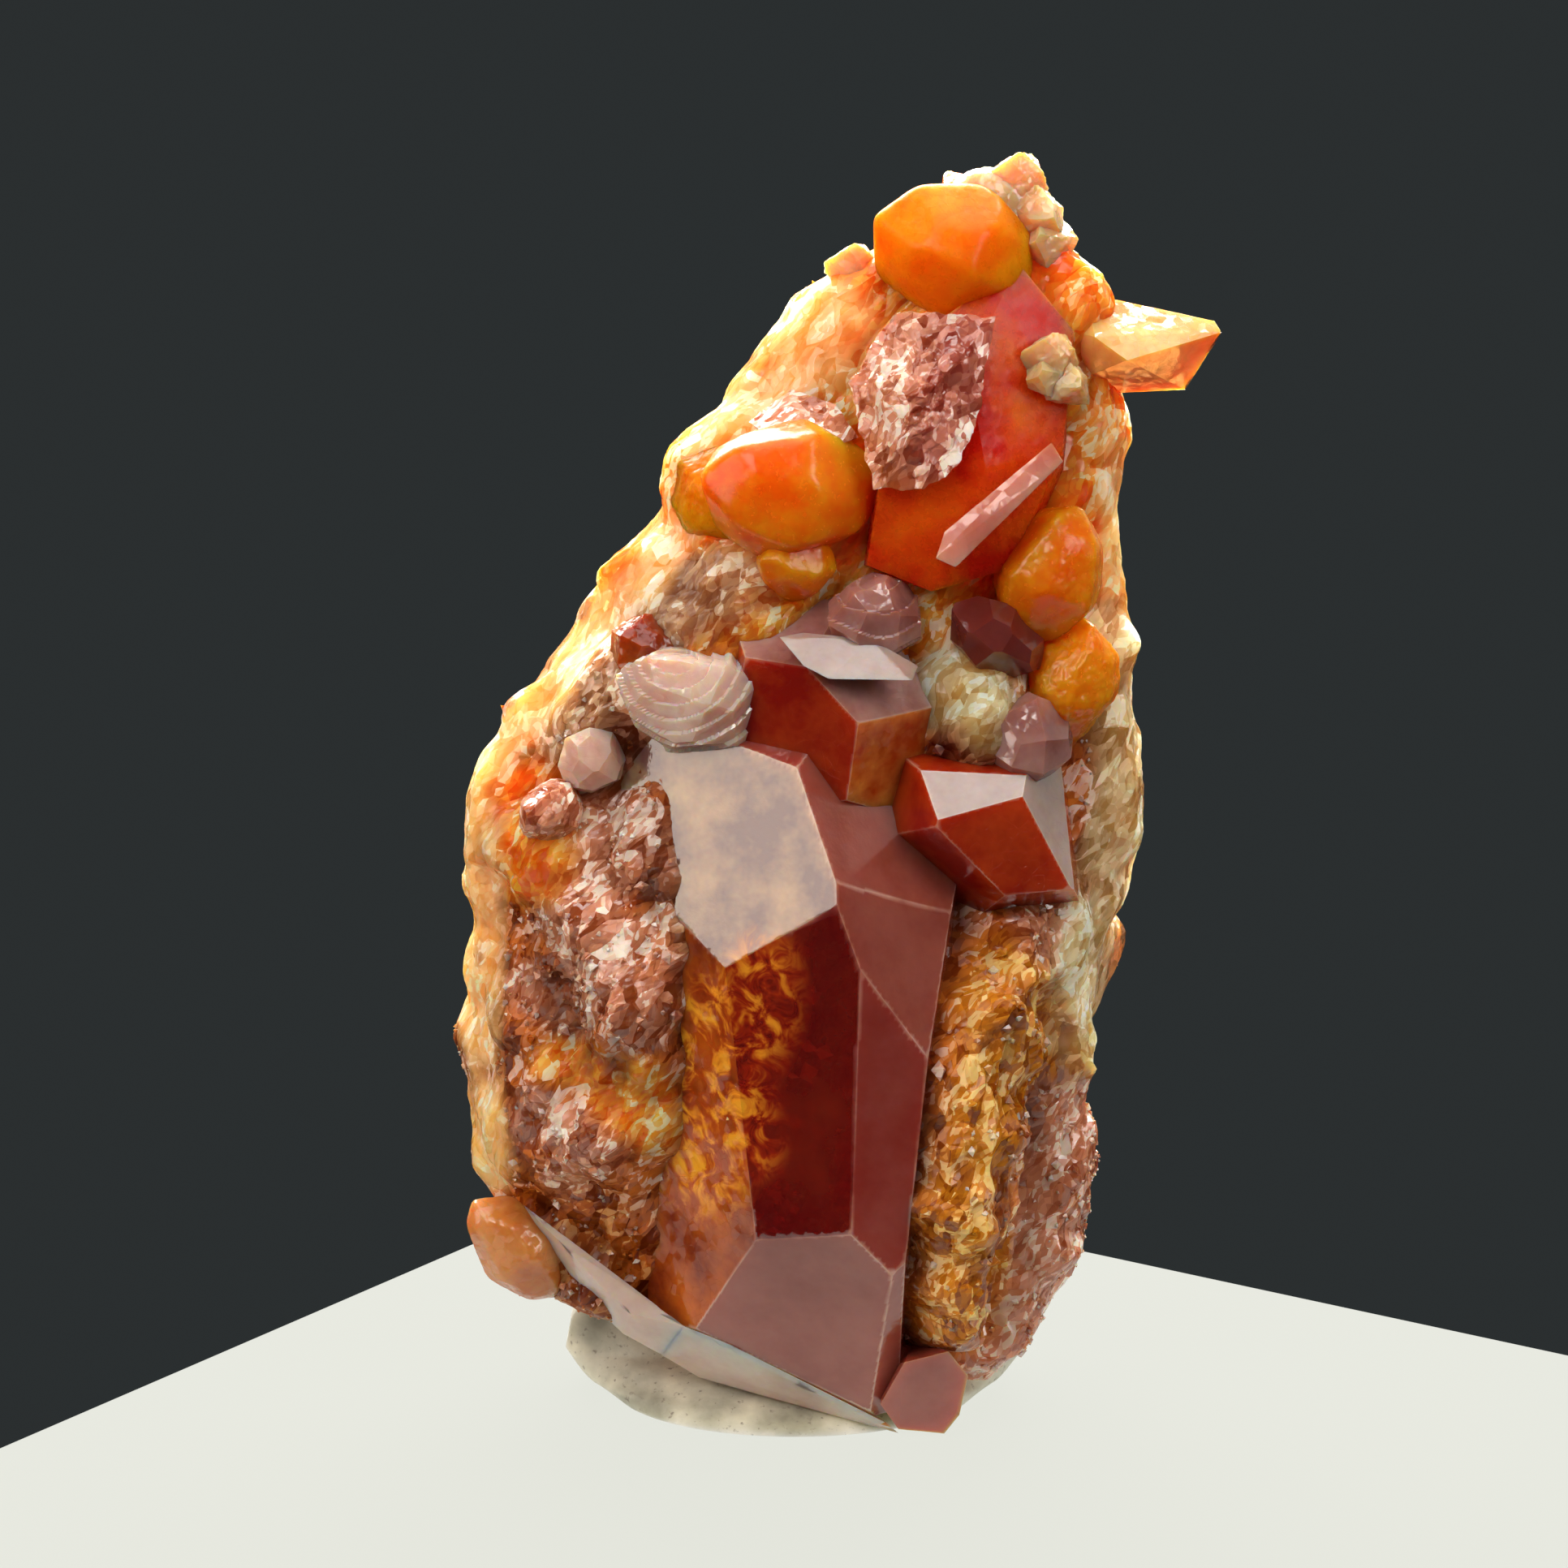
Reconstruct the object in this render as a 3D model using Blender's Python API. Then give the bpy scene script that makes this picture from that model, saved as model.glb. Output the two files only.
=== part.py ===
"""Spessartine garnet specimen, about 29 mm tall, held upright by a lump of putty.

Lengths in this file are millimetres; every mesh is scaled to metres when it is made.
+Z is up, the origin is on the ground under the middle of the specimen's box, and
the good side of the specimen faces -Y.

Places on the good side are given as an observer measures them: so far right of the
middle, so far up, and so far forward of the middle plane. The observer stands in
front and looks slightly down. Places on the back are plain x, y, z.
"""
import itertools
import math
import random

import bmesh
import bpy
from mathutils import Euler, Matrix, Vector, noise

MM = 0.001

# Brings the middle of the finished specimen's box over the origin
SHIFT = Vector((0.19, -0.025, 0.0))

# The observer
EYE_DISTANCE = 149.0
EYE_RISE = math.radians(15.0)
MIDDLE = Vector((-1.35, 0.0, 14.6))

# The rough mass that the crystals grew on: height, left, right, front, back
MASS_ROWS = (
    (0.9, -3.8, 3.2, 1.4, 2.4),
    (1.9, -5.4, 4.3, 1.8, 3.0),
    (3.4, -6.9, 5.0, 2.4, 3.6),
    (5.2, -7.9, 5.4, 2.8, 4.0),
    (8.5, -8.4, 5.4, 3.0, 4.2),
    (11.5, -8.2, 5.7, 3.0, 4.2),
    (13.8, -8.4, 6.5, 3.0, 4.0),
    (15.8, -7.3, 6.5, 2.9, 3.8),
    (17.6, -6.0, 6.2, 2.8, 3.5),
    (19.6, -4.6, 5.8, 2.4, 3.2),
    (21.5, -3.7, 5.9, 2.1, 2.9),
    (23.4, -2.4, 5.9, 1.9, 2.6),
    (25.2, -1.1, 5.3, 1.5, 2.2),
    (26.8, 0.4, 4.7, 1.1, 1.8),
    (28.1, 2.8, 4.1, 0.4, 0.6),
)
MASS_RINGS = 23
MASS_SEGMENTS = 26
MASS_SQUARENESS = 2.3
MASS_ROUGHNESS = 0.55
LUMP_POINTS = 12
STREWN_LUMPS = 46
STREWN_SIZES = (0.8, 1.5)
STREWN_SINK = 0.7
STREWN_SEED = 31

# Crystals cut to the faces seen on them: turn and tilt of each face, a seen point on it
GREAT_FACES = {
    "front": (-20, -3, (1.74, -4.24, 6.0)),
    "front_right": (10, -4, (1.74, -4.24, 6.0)),
    "shoulder_left": (-32, 15, (1.13, -2.61, 5.8)),
    "shoulder_right": (39, 16, (1.74, -4.24, 6.0)),
    "top_right": (47, 33, (1.78, -3.06, 5.85)),
    "etched_left": (-58, 6, (-3.9, -5.0, 3.9)),
    "lower_front": (-16, -25, (1.67, -9.83, 5.9)),
    "lower_right": (35, -26, (2.35, -10.83, 5.75)),
    "lower_left": (-45, -5, (-0.5, -9.83, 5.0)),
    "bevel": (-38, -50, (-2.28, -12.37, 2.8)),
    "bevel_left": (-62, -38, (-4.2, -11.44, 1.0)),
    "right": (82, -6, (3.3, -6.2, 5.5)),
    "top": (-10, 68, (-0.75, 0.35, 4.4)),
    "under": (-75, -80, (-1.93, -13.45, 0.8)),
}
MIDDLE_FACES = {
    "left": (-25, -8, (1.69, 1.39, 4.7)),
    "right": (40, -14, (1.69, 1.39, 4.7)),
    "top": (40, 40, (1.69, 1.39, 4.7)),
    "upper_left": (-20, 62, (0.3, 2.9, 4.0)),
    "side_left": (-75, 5, (-1.1, 1.6, 3.4)),
    "side_right": (85, 10, (3.55, 1.4, 3.2)),
    "under": (0, -60, (1.3, -0.4, 4.2)),
}
LEDGE_FACES = {
    "front": (18, -4, (4.8, -1.3, 4.5)),
    "top_bar": (5, 48, (4.1, -0.1, 4.3)),
    "right_bar": (62, 18, (5.9, -0.9, 4.0)),
    "left": (-60, 10, (3.0, -0.2, 4.0)),
    "right": (86, 8, (6.45, -0.8, 3.0)),
    "top": (20, 80, (4.2, 0.25, 4.0)),
    "under_left": (-40, -40, (4.1, -1.8, 4.4)),
    "under": (20, -60, (6.0, -2.4, 4.2)),
}

# Crystals of a garnet's own forms: seen place, size, turn about x, y, z, stretch
SEEN_CRYSTALS = {
    "top_orange": ((3.87, 12.1, 0.7), 1.6, (10, 25, 15), (1.05, 0.9, 0.95)),
    "summit_cap": ((4.75, 13.35, 0.0), 0.85, (20, 15, 40), (1.1, 0.9, 0.75)),
    "left_orange": ((0.15, 6.70, 2.3), 1.75, (35, 10, 20), (1.05, 0.85, 0.86)),
    "left_orange_back": ((-1.3, 6.6, 1.3), 1.15, (5, 40, 0), (1.0, 0.9, 1.0)),
    "brown_small": ((0.30, 5.02, 2.7), 0.8, (0, 15, 40), (1.1, 0.9, 0.9)),
    "right_orange": ((6.00, 4.75, 2.3), 1.25, (20, 15, 50), (0.95, 0.9, 1.12)),
    "dark": ((4.85, 3.40, 2.9), 0.95, (15, 35, 10), (1.1, 0.9, 0.8)),
    "mauve_block": ((2.07, 3.72, 3.0), 1.05, (25, 5, 35), (1.05, 0.9, 0.92)),
    "shell": ((-1.95, 1.90, 2.9), 1.45, (40, 20, 0), (1.12, 0.75, 0.9)),
    "small_mauve": ((-4.37, 0.57, 2.5), 0.68, (10, 40, 20), (1.0, 0.8, 1.0)),
    "right_mauve": ((5.55, 1.00, 3.1), 0.95, (30, 0, 25), (0.95, 0.9, 1.05)),
    "lower_left": ((-6.05, -10.55, 1.2), 1.05, (0, -38, 15), (0.85, 0.9, 1.25)),
    "right_chunk": ((6.50, 2.30, 2.2), 1.2, (10, 15, 5), (0.8, 0.9, 1.15)),
    "pink_left": ((-5.3, -0.6, 2.6), 0.75, (30, 10, 60), (1.1, 0.8, 0.9)),
    "tan_crystal": ((-3.0, 3.0, 2.0), 0.9, (10, 30, 45), (1.1, 0.9, 0.9)),
}

# Crystals with a shape of their own: seen corners
SEEN_HULLS = {
    "trunk": (
        (5.37, 11.85, 1.3), (6.63, 10.31, 1.3), (6.35, 7.6, 2.1), (5.1, 4.9, 2.8), (3.37, 4.4, 3.1),
        (1.9, 5.0, 2.9), (2.2, 6.9, 3.0), (3.3, 10.4, 2.1), (4.2, 9.6, 2.7), (4.6, 7.2, 3.1),
        (5.6, 11.0, -1.0), (1.6, 5.0, 0.0), (6.4, 6.4, 0.0),
    ),
    "etched_patch": (
        (2.54, 10.78, 2.2), (4.75, 10.59, 2.3), (4.44, 8.41, 3.2), (3.93, 7.28, 3.5), (3.20, 6.76, 3.6),
        (2.07, 6.81, 3.4), (1.48, 9.13, 2.6), (1.74, 9.54, 2.4), (3.2, 8.8, 3.5), (3.0, 8.5, 0.5),
    ),
    "left_wedge": (
        (-0.80, 8.26, 1.6), (1.17, 8.63, 1.9), (1.69, 7.91, 2.3), (0.37, 7.54, 3.3), (0.17, 9.0, 1.2),
        (0.3, 7.4, 1.0),
    ),
    "wing": (
        (6.9, 11.19, 0.2), (8.48, 10.85, -0.1), (9.81, 10.56, 0.5), (9.98, 10.31, 0.8), (7.83, 9.67, 1.9),
        (7.1, 10.2, 1.5), (9.48, 9.54, 0.5), (9.15, 9.00, 0.2), (8.61, 9.13, 0.5), (7.7, 8.93, 0.2),
        (6.19, 9.0, 0.0), (6.0, 10.5, 0.0),
    ),
    "bar": (
        (6.10, 7.78, 3.3), (6.36, 7.36, 3.5), (3.92, 4.95, 4.2), (3.47, 5.15, 4.2), (3.67, 5.75, 3.9),
        (6.10, 7.50, 2.4), (3.60, 5.10, 2.9),
    ),
    "plate": (
        (-0.10, 3.35, 4.1), (0.44, 3.45, 3.9), (1.98, 3.30, 3.9), (3.05, 2.70, 4.0), (2.93, 2.37, 4.5),
        (1.02, 2.40, 4.9), (0.45, 2.70, 4.7), (1.6, 2.6, 3.2),
    ),
    "corner_block": (
        (2.25, -14.05, 3.8), (2.96, -13.28, 4.2), (3.85, -13.02, 3.8), (4.11, -13.63, 3.5),
        (3.93, -14.40, 3.7), (3.57, -14.75, 3.9), (2.61, -14.68, 3.8), (3.0, -12.6, 2.2), (2.2, -13.4, 1.8),
    ),
}

# Lumps of the rough and crusty zones: seen place and size
SEEN_LUMPS = {
    "summit": (
        (5.42, 13.70, 0.0, 0.55), (5.72, 13.0, 0.2, 0.55), (5.95, 12.35, 0.3, 0.55),
        (5.1, 12.9, -0.4, 0.8), (4.3, 13.0, -0.9, 0.8),
    ),
    "right_shoulder": ((6.50, 11.5, 0.3, 0.75), (6.85, 10.9, 0.4, 0.65), (6.35, 10.5, 0.7, 0.7)),
    "pale_cluster": ((6.19, 9.70, 2.0, 0.48), (6.41, 9.15, 2.0, 0.45), (5.98, 9.30, 2.1, 0.42)),
    "knob": ((1.67, 11.78, 0.1, 0.45), (1.5, 11.2, 0.0, 0.6)),
    "left_knobs": (
        (-1.75, 7.40, 0.8, 0.80), (-1.95, 6.65, 0.8, 0.75), (-1.35, 5.9, 1.1, 0.75),
        (-0.9, 7.95, 0.8, 0.70),
    ),
    "tan": (
        (-1.13, 4.20, 1.9, 1.05), (-2.33, 3.70, 1.5, 1.10), (-1.59, 3.10, 2.2, 1.05),
        (-0.67, 4.85, 1.8, 0.85), (-2.50, 4.70, 0.9, 0.95), (-3.5, 2.3, 1.5, 1.0),
        (-4.1, 1.5, 1.5, 1.0), (-0.4, 3.6, 2.8, 0.75),
    ),
    "left_border": (
        (1.15, 10.50, 0.0, 0.85), (0.30, 9.65, 0.0, 0.85), (-0.40, 8.65, 0.0, 0.90),
        (-2.20, 5.40, 0.0, 1.00), (-2.75, 4.60, 0.0, 0.95), (-3.55, 3.45, 0.0, 1.00),
        (-4.40, 2.35, 0.0, 1.05), (-5.35, 1.25, 0.0, 1.10), (-6.05, 0.15, 0.3, 1.10),
    ),
    "left_rind": (
        (-6.25, -1.00, 0.6, 1.00), (-6.20, -2.40, 0.4, 1.00), (-6.30, -4.00, 0.0, 1.00),
        (-6.35, -5.60, -0.2, 1.00), (-6.20, -7.20, 0.0, 1.00), (-6.05, -8.60, 0.3, 0.95),
    ),
    "matrix": (
        (4.24, 2.35, 3.0, 0.80), (4.61, 1.50, 3.3, 0.80), (4.15, 1.05, 3.7, 0.70),
        (3.75, 2.0, 3.3, 0.7),
    ),
    "right_rim": (
        (7.00, 3.00, 0.4, 1.05), (7.00, 1.70, 0.5, 1.15), (7.05, 0.40, 0.4, 1.20),
        (7.10, -0.80, 0.3, 1.20), (6.85, -2.00, 0.3, 1.10), (6.50, -2.95, 0.5, 0.95),
    ),
    "right_edge": (
        (6.95, 8.20, 0.2, 0.90), (6.65, 7.20, 0.4, 0.90), (6.35, 8.90, 0.8, 0.80),
        (6.45, 6.40, 0.8, 0.80), (6.80, 5.50, 0.4, 0.80), (6.85, 4.40, 0.4, 0.80),
    ),
    "ochre": (
        (4.90, -4.75, 3.2, 1.05), (5.20, -6.00, 2.9, 1.05), (4.30, -6.60, 4.0, 1.05),
        (4.85, -7.80, 3.5, 1.10), (4.15, -8.50, 4.1, 1.10), (4.35, -10.07, 4.0, 1.15),
        (4.20, -11.37, 3.7, 1.05), (4.10, -12.28, 3.3, 0.90), (4.8, -9.3, 3.5, 1.0),
        (4.5, -5.4, 3.8, 0.9),
    ),
    "right_flank": (
        (5.80, -4.60, 1.5, 1.10), (5.60, -5.90, 1.4, 1.15), (5.55, -7.30, 1.5, 1.15),
        (5.85, -8.60, 1.3, 1.20), (5.85, -9.90, 1.3, 1.10), (5.30, -11.1, 1.5, 1.05),
        (4.70, -12.1, 1.6, 0.95), (4.25, -13.0, 2.0, 0.75),
    ),
    "right_middle": ((5.95, -2.85, 1.9, 0.95), (5.90, -3.80, 2.3, 0.95), (5.2, -3.3, 3.0, 0.8)),
    "etched": (
        (-5.00, -1.50, 1.8, 1.30), (-4.20, -3.20, 2.4, 1.35), (-3.10, -2.00, 3.0, 1.20),
        (-4.90, -4.90, 1.5, 1.45), (-3.50, -4.60, 3.0, 1.30), (-4.60, -6.60, 1.8, 1.45),
        (-3.20, -6.30, 3.2, 1.20), (-5.20, -8.00, 1.1, 1.40), (-3.90, -8.00, 2.3, 1.30),
        (-2.3, -3.7, 3.9, 0.95), (-2.6, -5.4, 3.9, 0.90), (-2.6, -7.6, 3.5, 0.95),
    ),
}

# Crystals on the back: place, size, turn, stretch
BACK_CRYSTALS = {
    "back_great": ((-1.0, 2.8, 9.0), 3.0, (20, 10, 30), (1.15, 0.9, 1.2)),
    "back_lower": ((-4.0, 2.6, 4.8), 2.1, (5, 40, 10), (1.0, 0.9, 1.0)),
    "back_right": ((3.0, 2.8, 5.6), 1.9, (50, 15, 0), (0.95, 1.0, 1.1)),
    "back_left": ((-5.0, 2.6, 12.8), 2.0, (25, 30, 70), (1.0, 0.9, 1.1)),
    "back_middle": ((2.6, 2.8, 13.2), 2.1, (60, 20, 15), (1.1, 0.8, 1.1)),
    "back_step": ((-1.8, 2.8, 16.8), 1.7, (10, 50, 30), (1.1, 0.9, 1.0)),
    "back_upper": ((2.4, 2.5, 19.4), 1.8, (35, 5, 40), (1.1, 0.8, 1.15)),
    "back_high": ((1.4, 2.3, 22.8), 1.4, (15, 25, 60), (1.1, 0.8, 1.2)),
    "back_top": ((3.4, 1.5, 25.6), 1.2, (45, 15, 20), (1.0, 0.8, 1.1)),
}

# The putty: height, left, right, front, back of each level, from the ground up
PUTTY_ROWS = (
    (0.0, -5.3, 3.1, 3.1, 3.3),
    (0.35, -5.9, 3.7, 3.5, 3.8),
    (1.0, -6.3, 4.2, 3.6, 4.1),
    (1.7, -6.2, 4.2, 3.3, 4.0),
    (2.3, -5.8, 3.9, 2.9, 3.7),
)
PUTTY_SEGMENTS = 34
PUTTY_SWELLING = 0.35
SOCKET_HEIGHT = 3.4
GAP = 0.3


def sight(right, up, forward):
    """The point that is `forward` of the middle plane on the observer's sight line."""
    rise = Vector((0.0, math.sin(EYE_RISE), math.cos(EYE_RISE)))
    eye = MIDDLE + EYE_DISTANCE * Vector((0.0, -math.cos(EYE_RISE), math.sin(EYE_RISE)))
    mark = MIDDLE + Vector((right, 0.0, 0.0)) + up * rise
    share = (-forward - eye.y) / (mark.y - eye.y)
    return eye + share * (mark - eye)


def facing(turn, tilt):
    """The direction turned right of -Y by `turn` and raised by `tilt`, in degrees."""
    turn, tilt = math.radians(turn), math.radians(tilt)
    return Vector((math.sin(turn) * math.cos(tilt), -math.cos(turn) * math.cos(tilt), math.sin(tilt)))


def plane(direction, mark):
    """A face's plane: its outward direction and its distance from the origin."""
    direction = direction.normalized()
    return direction, direction.dot(mark)


def corners_of(planes):
    """The corners of the convex solid inside planes, each a direction and a distance."""
    corners = []
    for trio in itertools.combinations(planes, 3):
        matrix = Matrix([direction for direction, _ in trio])
        if abs(matrix.determinant()) < 1e-4:
            continue
        corner = matrix.inverted() @ Vector([distance for _, distance in trio])
        if all(direction.dot(corner) < distance + 1e-5 for direction, distance in planes):
            corners.append(corner)
    return corners


def make_material(name, colour, roughness, metallic=0.0):
    material = bpy.data.materials.new(name)
    material.use_nodes = True
    shader = material.node_tree.nodes["Principled BSDF"]
    shader.inputs["Base Color"].default_value = (*colour, 1.0)
    shader.inputs["Roughness"].default_value = roughness
    shader.inputs["Metallic"].default_value = metallic
    return material


def new_object(name, builder, collection=None):
    """Shift a bmesh over the origin, scale it to metres and put it into the scene."""
    bmesh.ops.translate(builder, vec=SHIFT, verts=builder.verts)
    bmesh.ops.scale(builder, vec=(MM, MM, MM), verts=builder.verts)
    mesh = bpy.data.meshes.new(name)
    builder.to_mesh(mesh)
    builder.free()
    piece = bpy.data.objects.new(name, mesh)
    (collection or bpy.context.scene.collection).objects.link(piece)
    return piece


def add_growth(name, points):
    """Make the convex solid round the points, one growth to be joined to the mass."""
    builder = bmesh.new()
    verts = [builder.verts.new(point) for point in points]
    result = bmesh.ops.convex_hull(builder, input=verts)
    spare = set(result["geom_interior"]) | set(result["geom_unused"])
    inner = [item for item in spare if isinstance(item, bmesh.types.BMVert)]
    bmesh.ops.delete(builder, geom=inner, context="VERTS")
    growth = new_object(name, builder, growths)
    growth.hide_render = True
    growth.display_type = "WIRE"


def form_corners():
    """Corners of a trapezohedron, a garnet's natural form, its faces one unit from the middle."""
    directions = set()
    for order in itertools.permutations((1, 1, 2)):
        for signs in itertools.product((-1, 1), repeat=3):
            directions.add(tuple(sign * value for sign, value in zip(signs, order)))
    faces = [Vector(direction).normalized() for direction in sorted(directions)]
    return corners_of([(direction, 1.0) for direction in faces])


def add_crystal(name, place, size, turn, stretch):
    """A garnet crystal: the natural form stretched, turned and put in place."""
    turning = Euler([math.radians(angle) for angle in turn]).to_matrix()
    shape = turning @ Matrix.Diagonal(stretch) * size
    add_growth(name, [place + shape @ corner for corner in FORM])


def add_faceted(name, faces, hidden):
    """A crystal cut to its seen faces and to the plain hidden planes behind them."""
    planes = [plane(facing(turn, tilt), sight(*mark)) for turn, tilt, mark in faces.values()]
    add_growth(name, corners_of(planes + hidden))


def add_lump(name, place, size, seed):
    """An uneven lump: the hull of points strewn evenly over a stretched ball, a little in or out."""
    chance = random.Random(seed)
    stretch = Vector((chance.uniform(0.85, 1.2), chance.uniform(0.85, 1.1), chance.uniform(0.85, 1.2)))
    points = []
    for number in range(LUMP_POINTS):
        height = 1.0 - 2.0 * (number + 0.5) / LUMP_POINTS
        angle = 2.4 * number + chance.uniform(-0.4, 0.4)
        ring = math.sqrt(1.0 - height * height)
        direction = Vector((ring * math.cos(angle), ring * math.sin(angle), height))
        points.append(place + size * chance.uniform(0.85, 1.15) * direction * stretch)
    add_growth(name, points)


def row_at(rows, height):
    """Left, right, front and back at a height, between the two nearest rows."""
    for low, high in zip(rows, rows[1:]):
        if height <= high[0] or high is rows[-1]:
            share = (height - low[0]) / (high[0] - low[0])
            return [a + share * (b - a) for a, b in zip(low[1:], high[1:])]


def ring_point(row, height, angle, squareness):
    """A point of the rounded, slightly square ring that a row describes."""
    left, right, front, back = row
    across, along = math.cos(angle), math.sin(angle)
    reach = (abs(across) ** squareness + abs(along) ** squareness) ** (-1 / squareness)
    depth = back if along > 0 else front
    return Vector(((left + right) / 2 + reach * across * (right - left) / 2, reach * along * depth, height))


def stack_rings(name, rings):
    """Close a stack of rings of points, lowest first, into one solid."""
    builder = bmesh.new()
    levels = [[builder.verts.new(point) for point in ring] for ring in rings]
    for lower, upper in zip(levels, levels[1:]):
        for segment in range(len(lower)):
            after = (segment + 1) % len(lower)
            builder.faces.new((lower[segment], lower[after], upper[after], upper[segment]))
    builder.faces.new(list(reversed(levels[0])))
    builder.faces.new(levels[-1])
    bmesh.ops.triangulate(builder, faces=builder.faces)
    return new_object(name, builder)


def make_mass():
    """The rough mass: uneven rings from the foot to the summit."""
    foot, summit = MASS_ROWS[0][0], MASS_ROWS[-1][0]
    rings = []
    for number in range(MASS_RINGS):
        height = foot + (summit - foot) * number / (MASS_RINGS - 1)
        row = row_at(MASS_ROWS, height)
        ring = []
        for segment in range(MASS_SEGMENTS):
            angle = 2.0 * math.pi * (segment + 0.5 * (number % 2)) / MASS_SEGMENTS
            place = ring_point(row, height, angle, MASS_SQUARENESS)
            lumpiness = noise.noise(place * 0.55) + 0.6 * noise.noise(place * 1.3)
            place += MASS_ROUGHNESS * lumpiness * Vector((math.cos(angle), math.sin(angle), 0.0))
            ring.append(place)
        rings.append(ring)
    return stack_rings("garnet", rings)


def strew_lumps():
    """Lumps half sunk in the mass all round it, spread by the golden angle."""
    chance = random.Random(STREWN_SEED)
    foot, summit = MASS_ROWS[0][0], MASS_ROWS[-1][0]
    for number in range(STREWN_LUMPS):
        share = (number + 0.5) / STREWN_LUMPS
        height = foot + 0.6 + (summit - foot - 1.4) * (0.5 * share + 0.5 * share * share)
        angle = math.radians(137.5) * number
        size = chance.uniform(*STREWN_SIZES)
        place = ring_point(row_at(MASS_ROWS, height), height, angle, MASS_SQUARENESS)
        place -= STREWN_SINK * size * Vector((math.cos(angle), math.sin(angle), 0.0))
        add_lump(f"strewn_{number}", place, size, f"strewn{number}")


def make_garnet():
    """Grow every crystal and lump on the mass and join them into one solid."""
    back = (Vector((0, 1, 0)), Vector((0, 2.0, 0)))
    add_faceted("great_crystal", GREAT_FACES, [
        plane(*back),
        plane(Vector((0, 0, -1)), Vector((0, 0, 0.45))),
        plane(facing(180, 50), Vector((0, 1.5, 15.0))),
        plane(Vector((1, 0, 0)), Vector((4.6, 0, 0))),
        plane(Vector((-1, 0, 0)), Vector((-7.9, 0, 0))),
    ])
    add_faceted("middle_crystal", MIDDLE_FACES, [plane(*back)])
    add_faceted("ledge_crystal", LEDGE_FACES, [plane(*back)])
    for name, (place, size, turn, stretch) in SEEN_CRYSTALS.items():
        add_crystal(name, sight(*place), size, turn, stretch)
    for name, corners in SEEN_HULLS.items():
        add_growth(name, [sight(*corner) for corner in corners])
    for name, lumps in SEEN_LUMPS.items():
        for number, (right, up, forward, size) in enumerate(lumps):
            add_lump(f"{name}_{number}", sight(right, up, forward), size, f"{name}{number}")
    for name, (place, size, turn, stretch) in BACK_CRYSTALS.items():
        add_crystal(name, Vector(place), size, turn, stretch)
    strew_lumps()
    garnet = make_mass()
    union = garnet.modifiers.new("grown together", "BOOLEAN")
    union.operation = "UNION"
    union.solver = "EXACT"
    union.operand_type = "COLLECTION"
    union.collection = growths
    garnet.data.materials.append(make_material("garnet red", (0.42, 0.09, 0.03), 0.25))
    return garnet


def make_socket(garnet):
    """The space that the specimen's foot takes in the putty: its outer form, a gap larger."""
    points = []
    for piece in [garnet, *growths.objects]:
        places = [vertex.co / MM - SHIFT for vertex in piece.data.vertices]
        points += [place for place in places if place.z < SOCKET_HEIGHT]
    middle = sum(points, Vector()) / len(points)
    middle.z = SOCKET_HEIGHT
    add_growth("socket", [point + GAP * 1.5 * (point - middle).normalized() for point in points])
    socket = bpy.data.objects["socket"]
    growths.objects.unlink(socket)
    bpy.context.scene.collection.objects.link(socket)
    return socket


def make_putty(garnet):
    """The putty: a pressed lump with a flat underside, hollowed by the foot that stands in it."""
    rings = []
    for height, *row in PUTTY_ROWS:
        ring = []
        for segment in range(PUTTY_SEGMENTS):
            angle = 2.0 * math.pi * segment / PUTTY_SEGMENTS
            place = ring_point(row, height, angle, 2.0)
            swelling = noise.noise(Vector((place.x * 0.4, place.y * 0.4, 5.0)))
            ring.append(place + PUTTY_SWELLING * swelling * Vector((math.cos(angle), math.sin(angle), 0.0)))
        rings.append(ring)
    putty = stack_rings("putty", rings)
    hollow = putty.modifiers.new("pressed foot", "BOOLEAN")
    hollow.operation = "DIFFERENCE"
    hollow.solver = "EXACT"
    hollow.object = make_socket(garnet)
    putty.data.materials.append(make_material("mounting putty", (0.55, 0.57, 0.50), 0.6))


for item in list(bpy.data.objects):
    bpy.data.objects.remove(item, do_unlink=True)

growths = bpy.data.collections.new("growths")
bpy.context.scene.collection.children.link(growths)
FORM = form_corners()
make_putty(make_garnet())
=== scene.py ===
# %% [markdown]
# A spessartine garnet specimen stands on a little putty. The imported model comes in
# first, because every surface made below stands for one of its two solids and has to
# stay in its place and size.

import itertools
import math

import bpy
import numpy as np
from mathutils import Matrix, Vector


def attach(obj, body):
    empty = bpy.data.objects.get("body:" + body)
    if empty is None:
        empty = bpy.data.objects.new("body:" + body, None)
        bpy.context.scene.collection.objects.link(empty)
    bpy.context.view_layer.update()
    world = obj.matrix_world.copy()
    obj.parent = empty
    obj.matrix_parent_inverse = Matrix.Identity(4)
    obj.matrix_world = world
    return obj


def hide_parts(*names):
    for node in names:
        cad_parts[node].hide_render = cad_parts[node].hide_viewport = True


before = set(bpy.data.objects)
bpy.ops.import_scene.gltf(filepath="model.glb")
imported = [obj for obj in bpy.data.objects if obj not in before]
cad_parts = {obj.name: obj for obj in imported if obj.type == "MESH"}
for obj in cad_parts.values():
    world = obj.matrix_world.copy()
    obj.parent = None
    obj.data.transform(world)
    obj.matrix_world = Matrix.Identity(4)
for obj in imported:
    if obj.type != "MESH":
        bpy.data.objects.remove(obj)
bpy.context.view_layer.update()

# %% [markdown]
# Crystals are easiest to place the way an eye sees them: so far right of the middle, so
# far up, and so far forward. One function turns such seen places into real ones along
# the eye's sight lines. Lengths are millimetres until a mesh is made.

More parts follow.
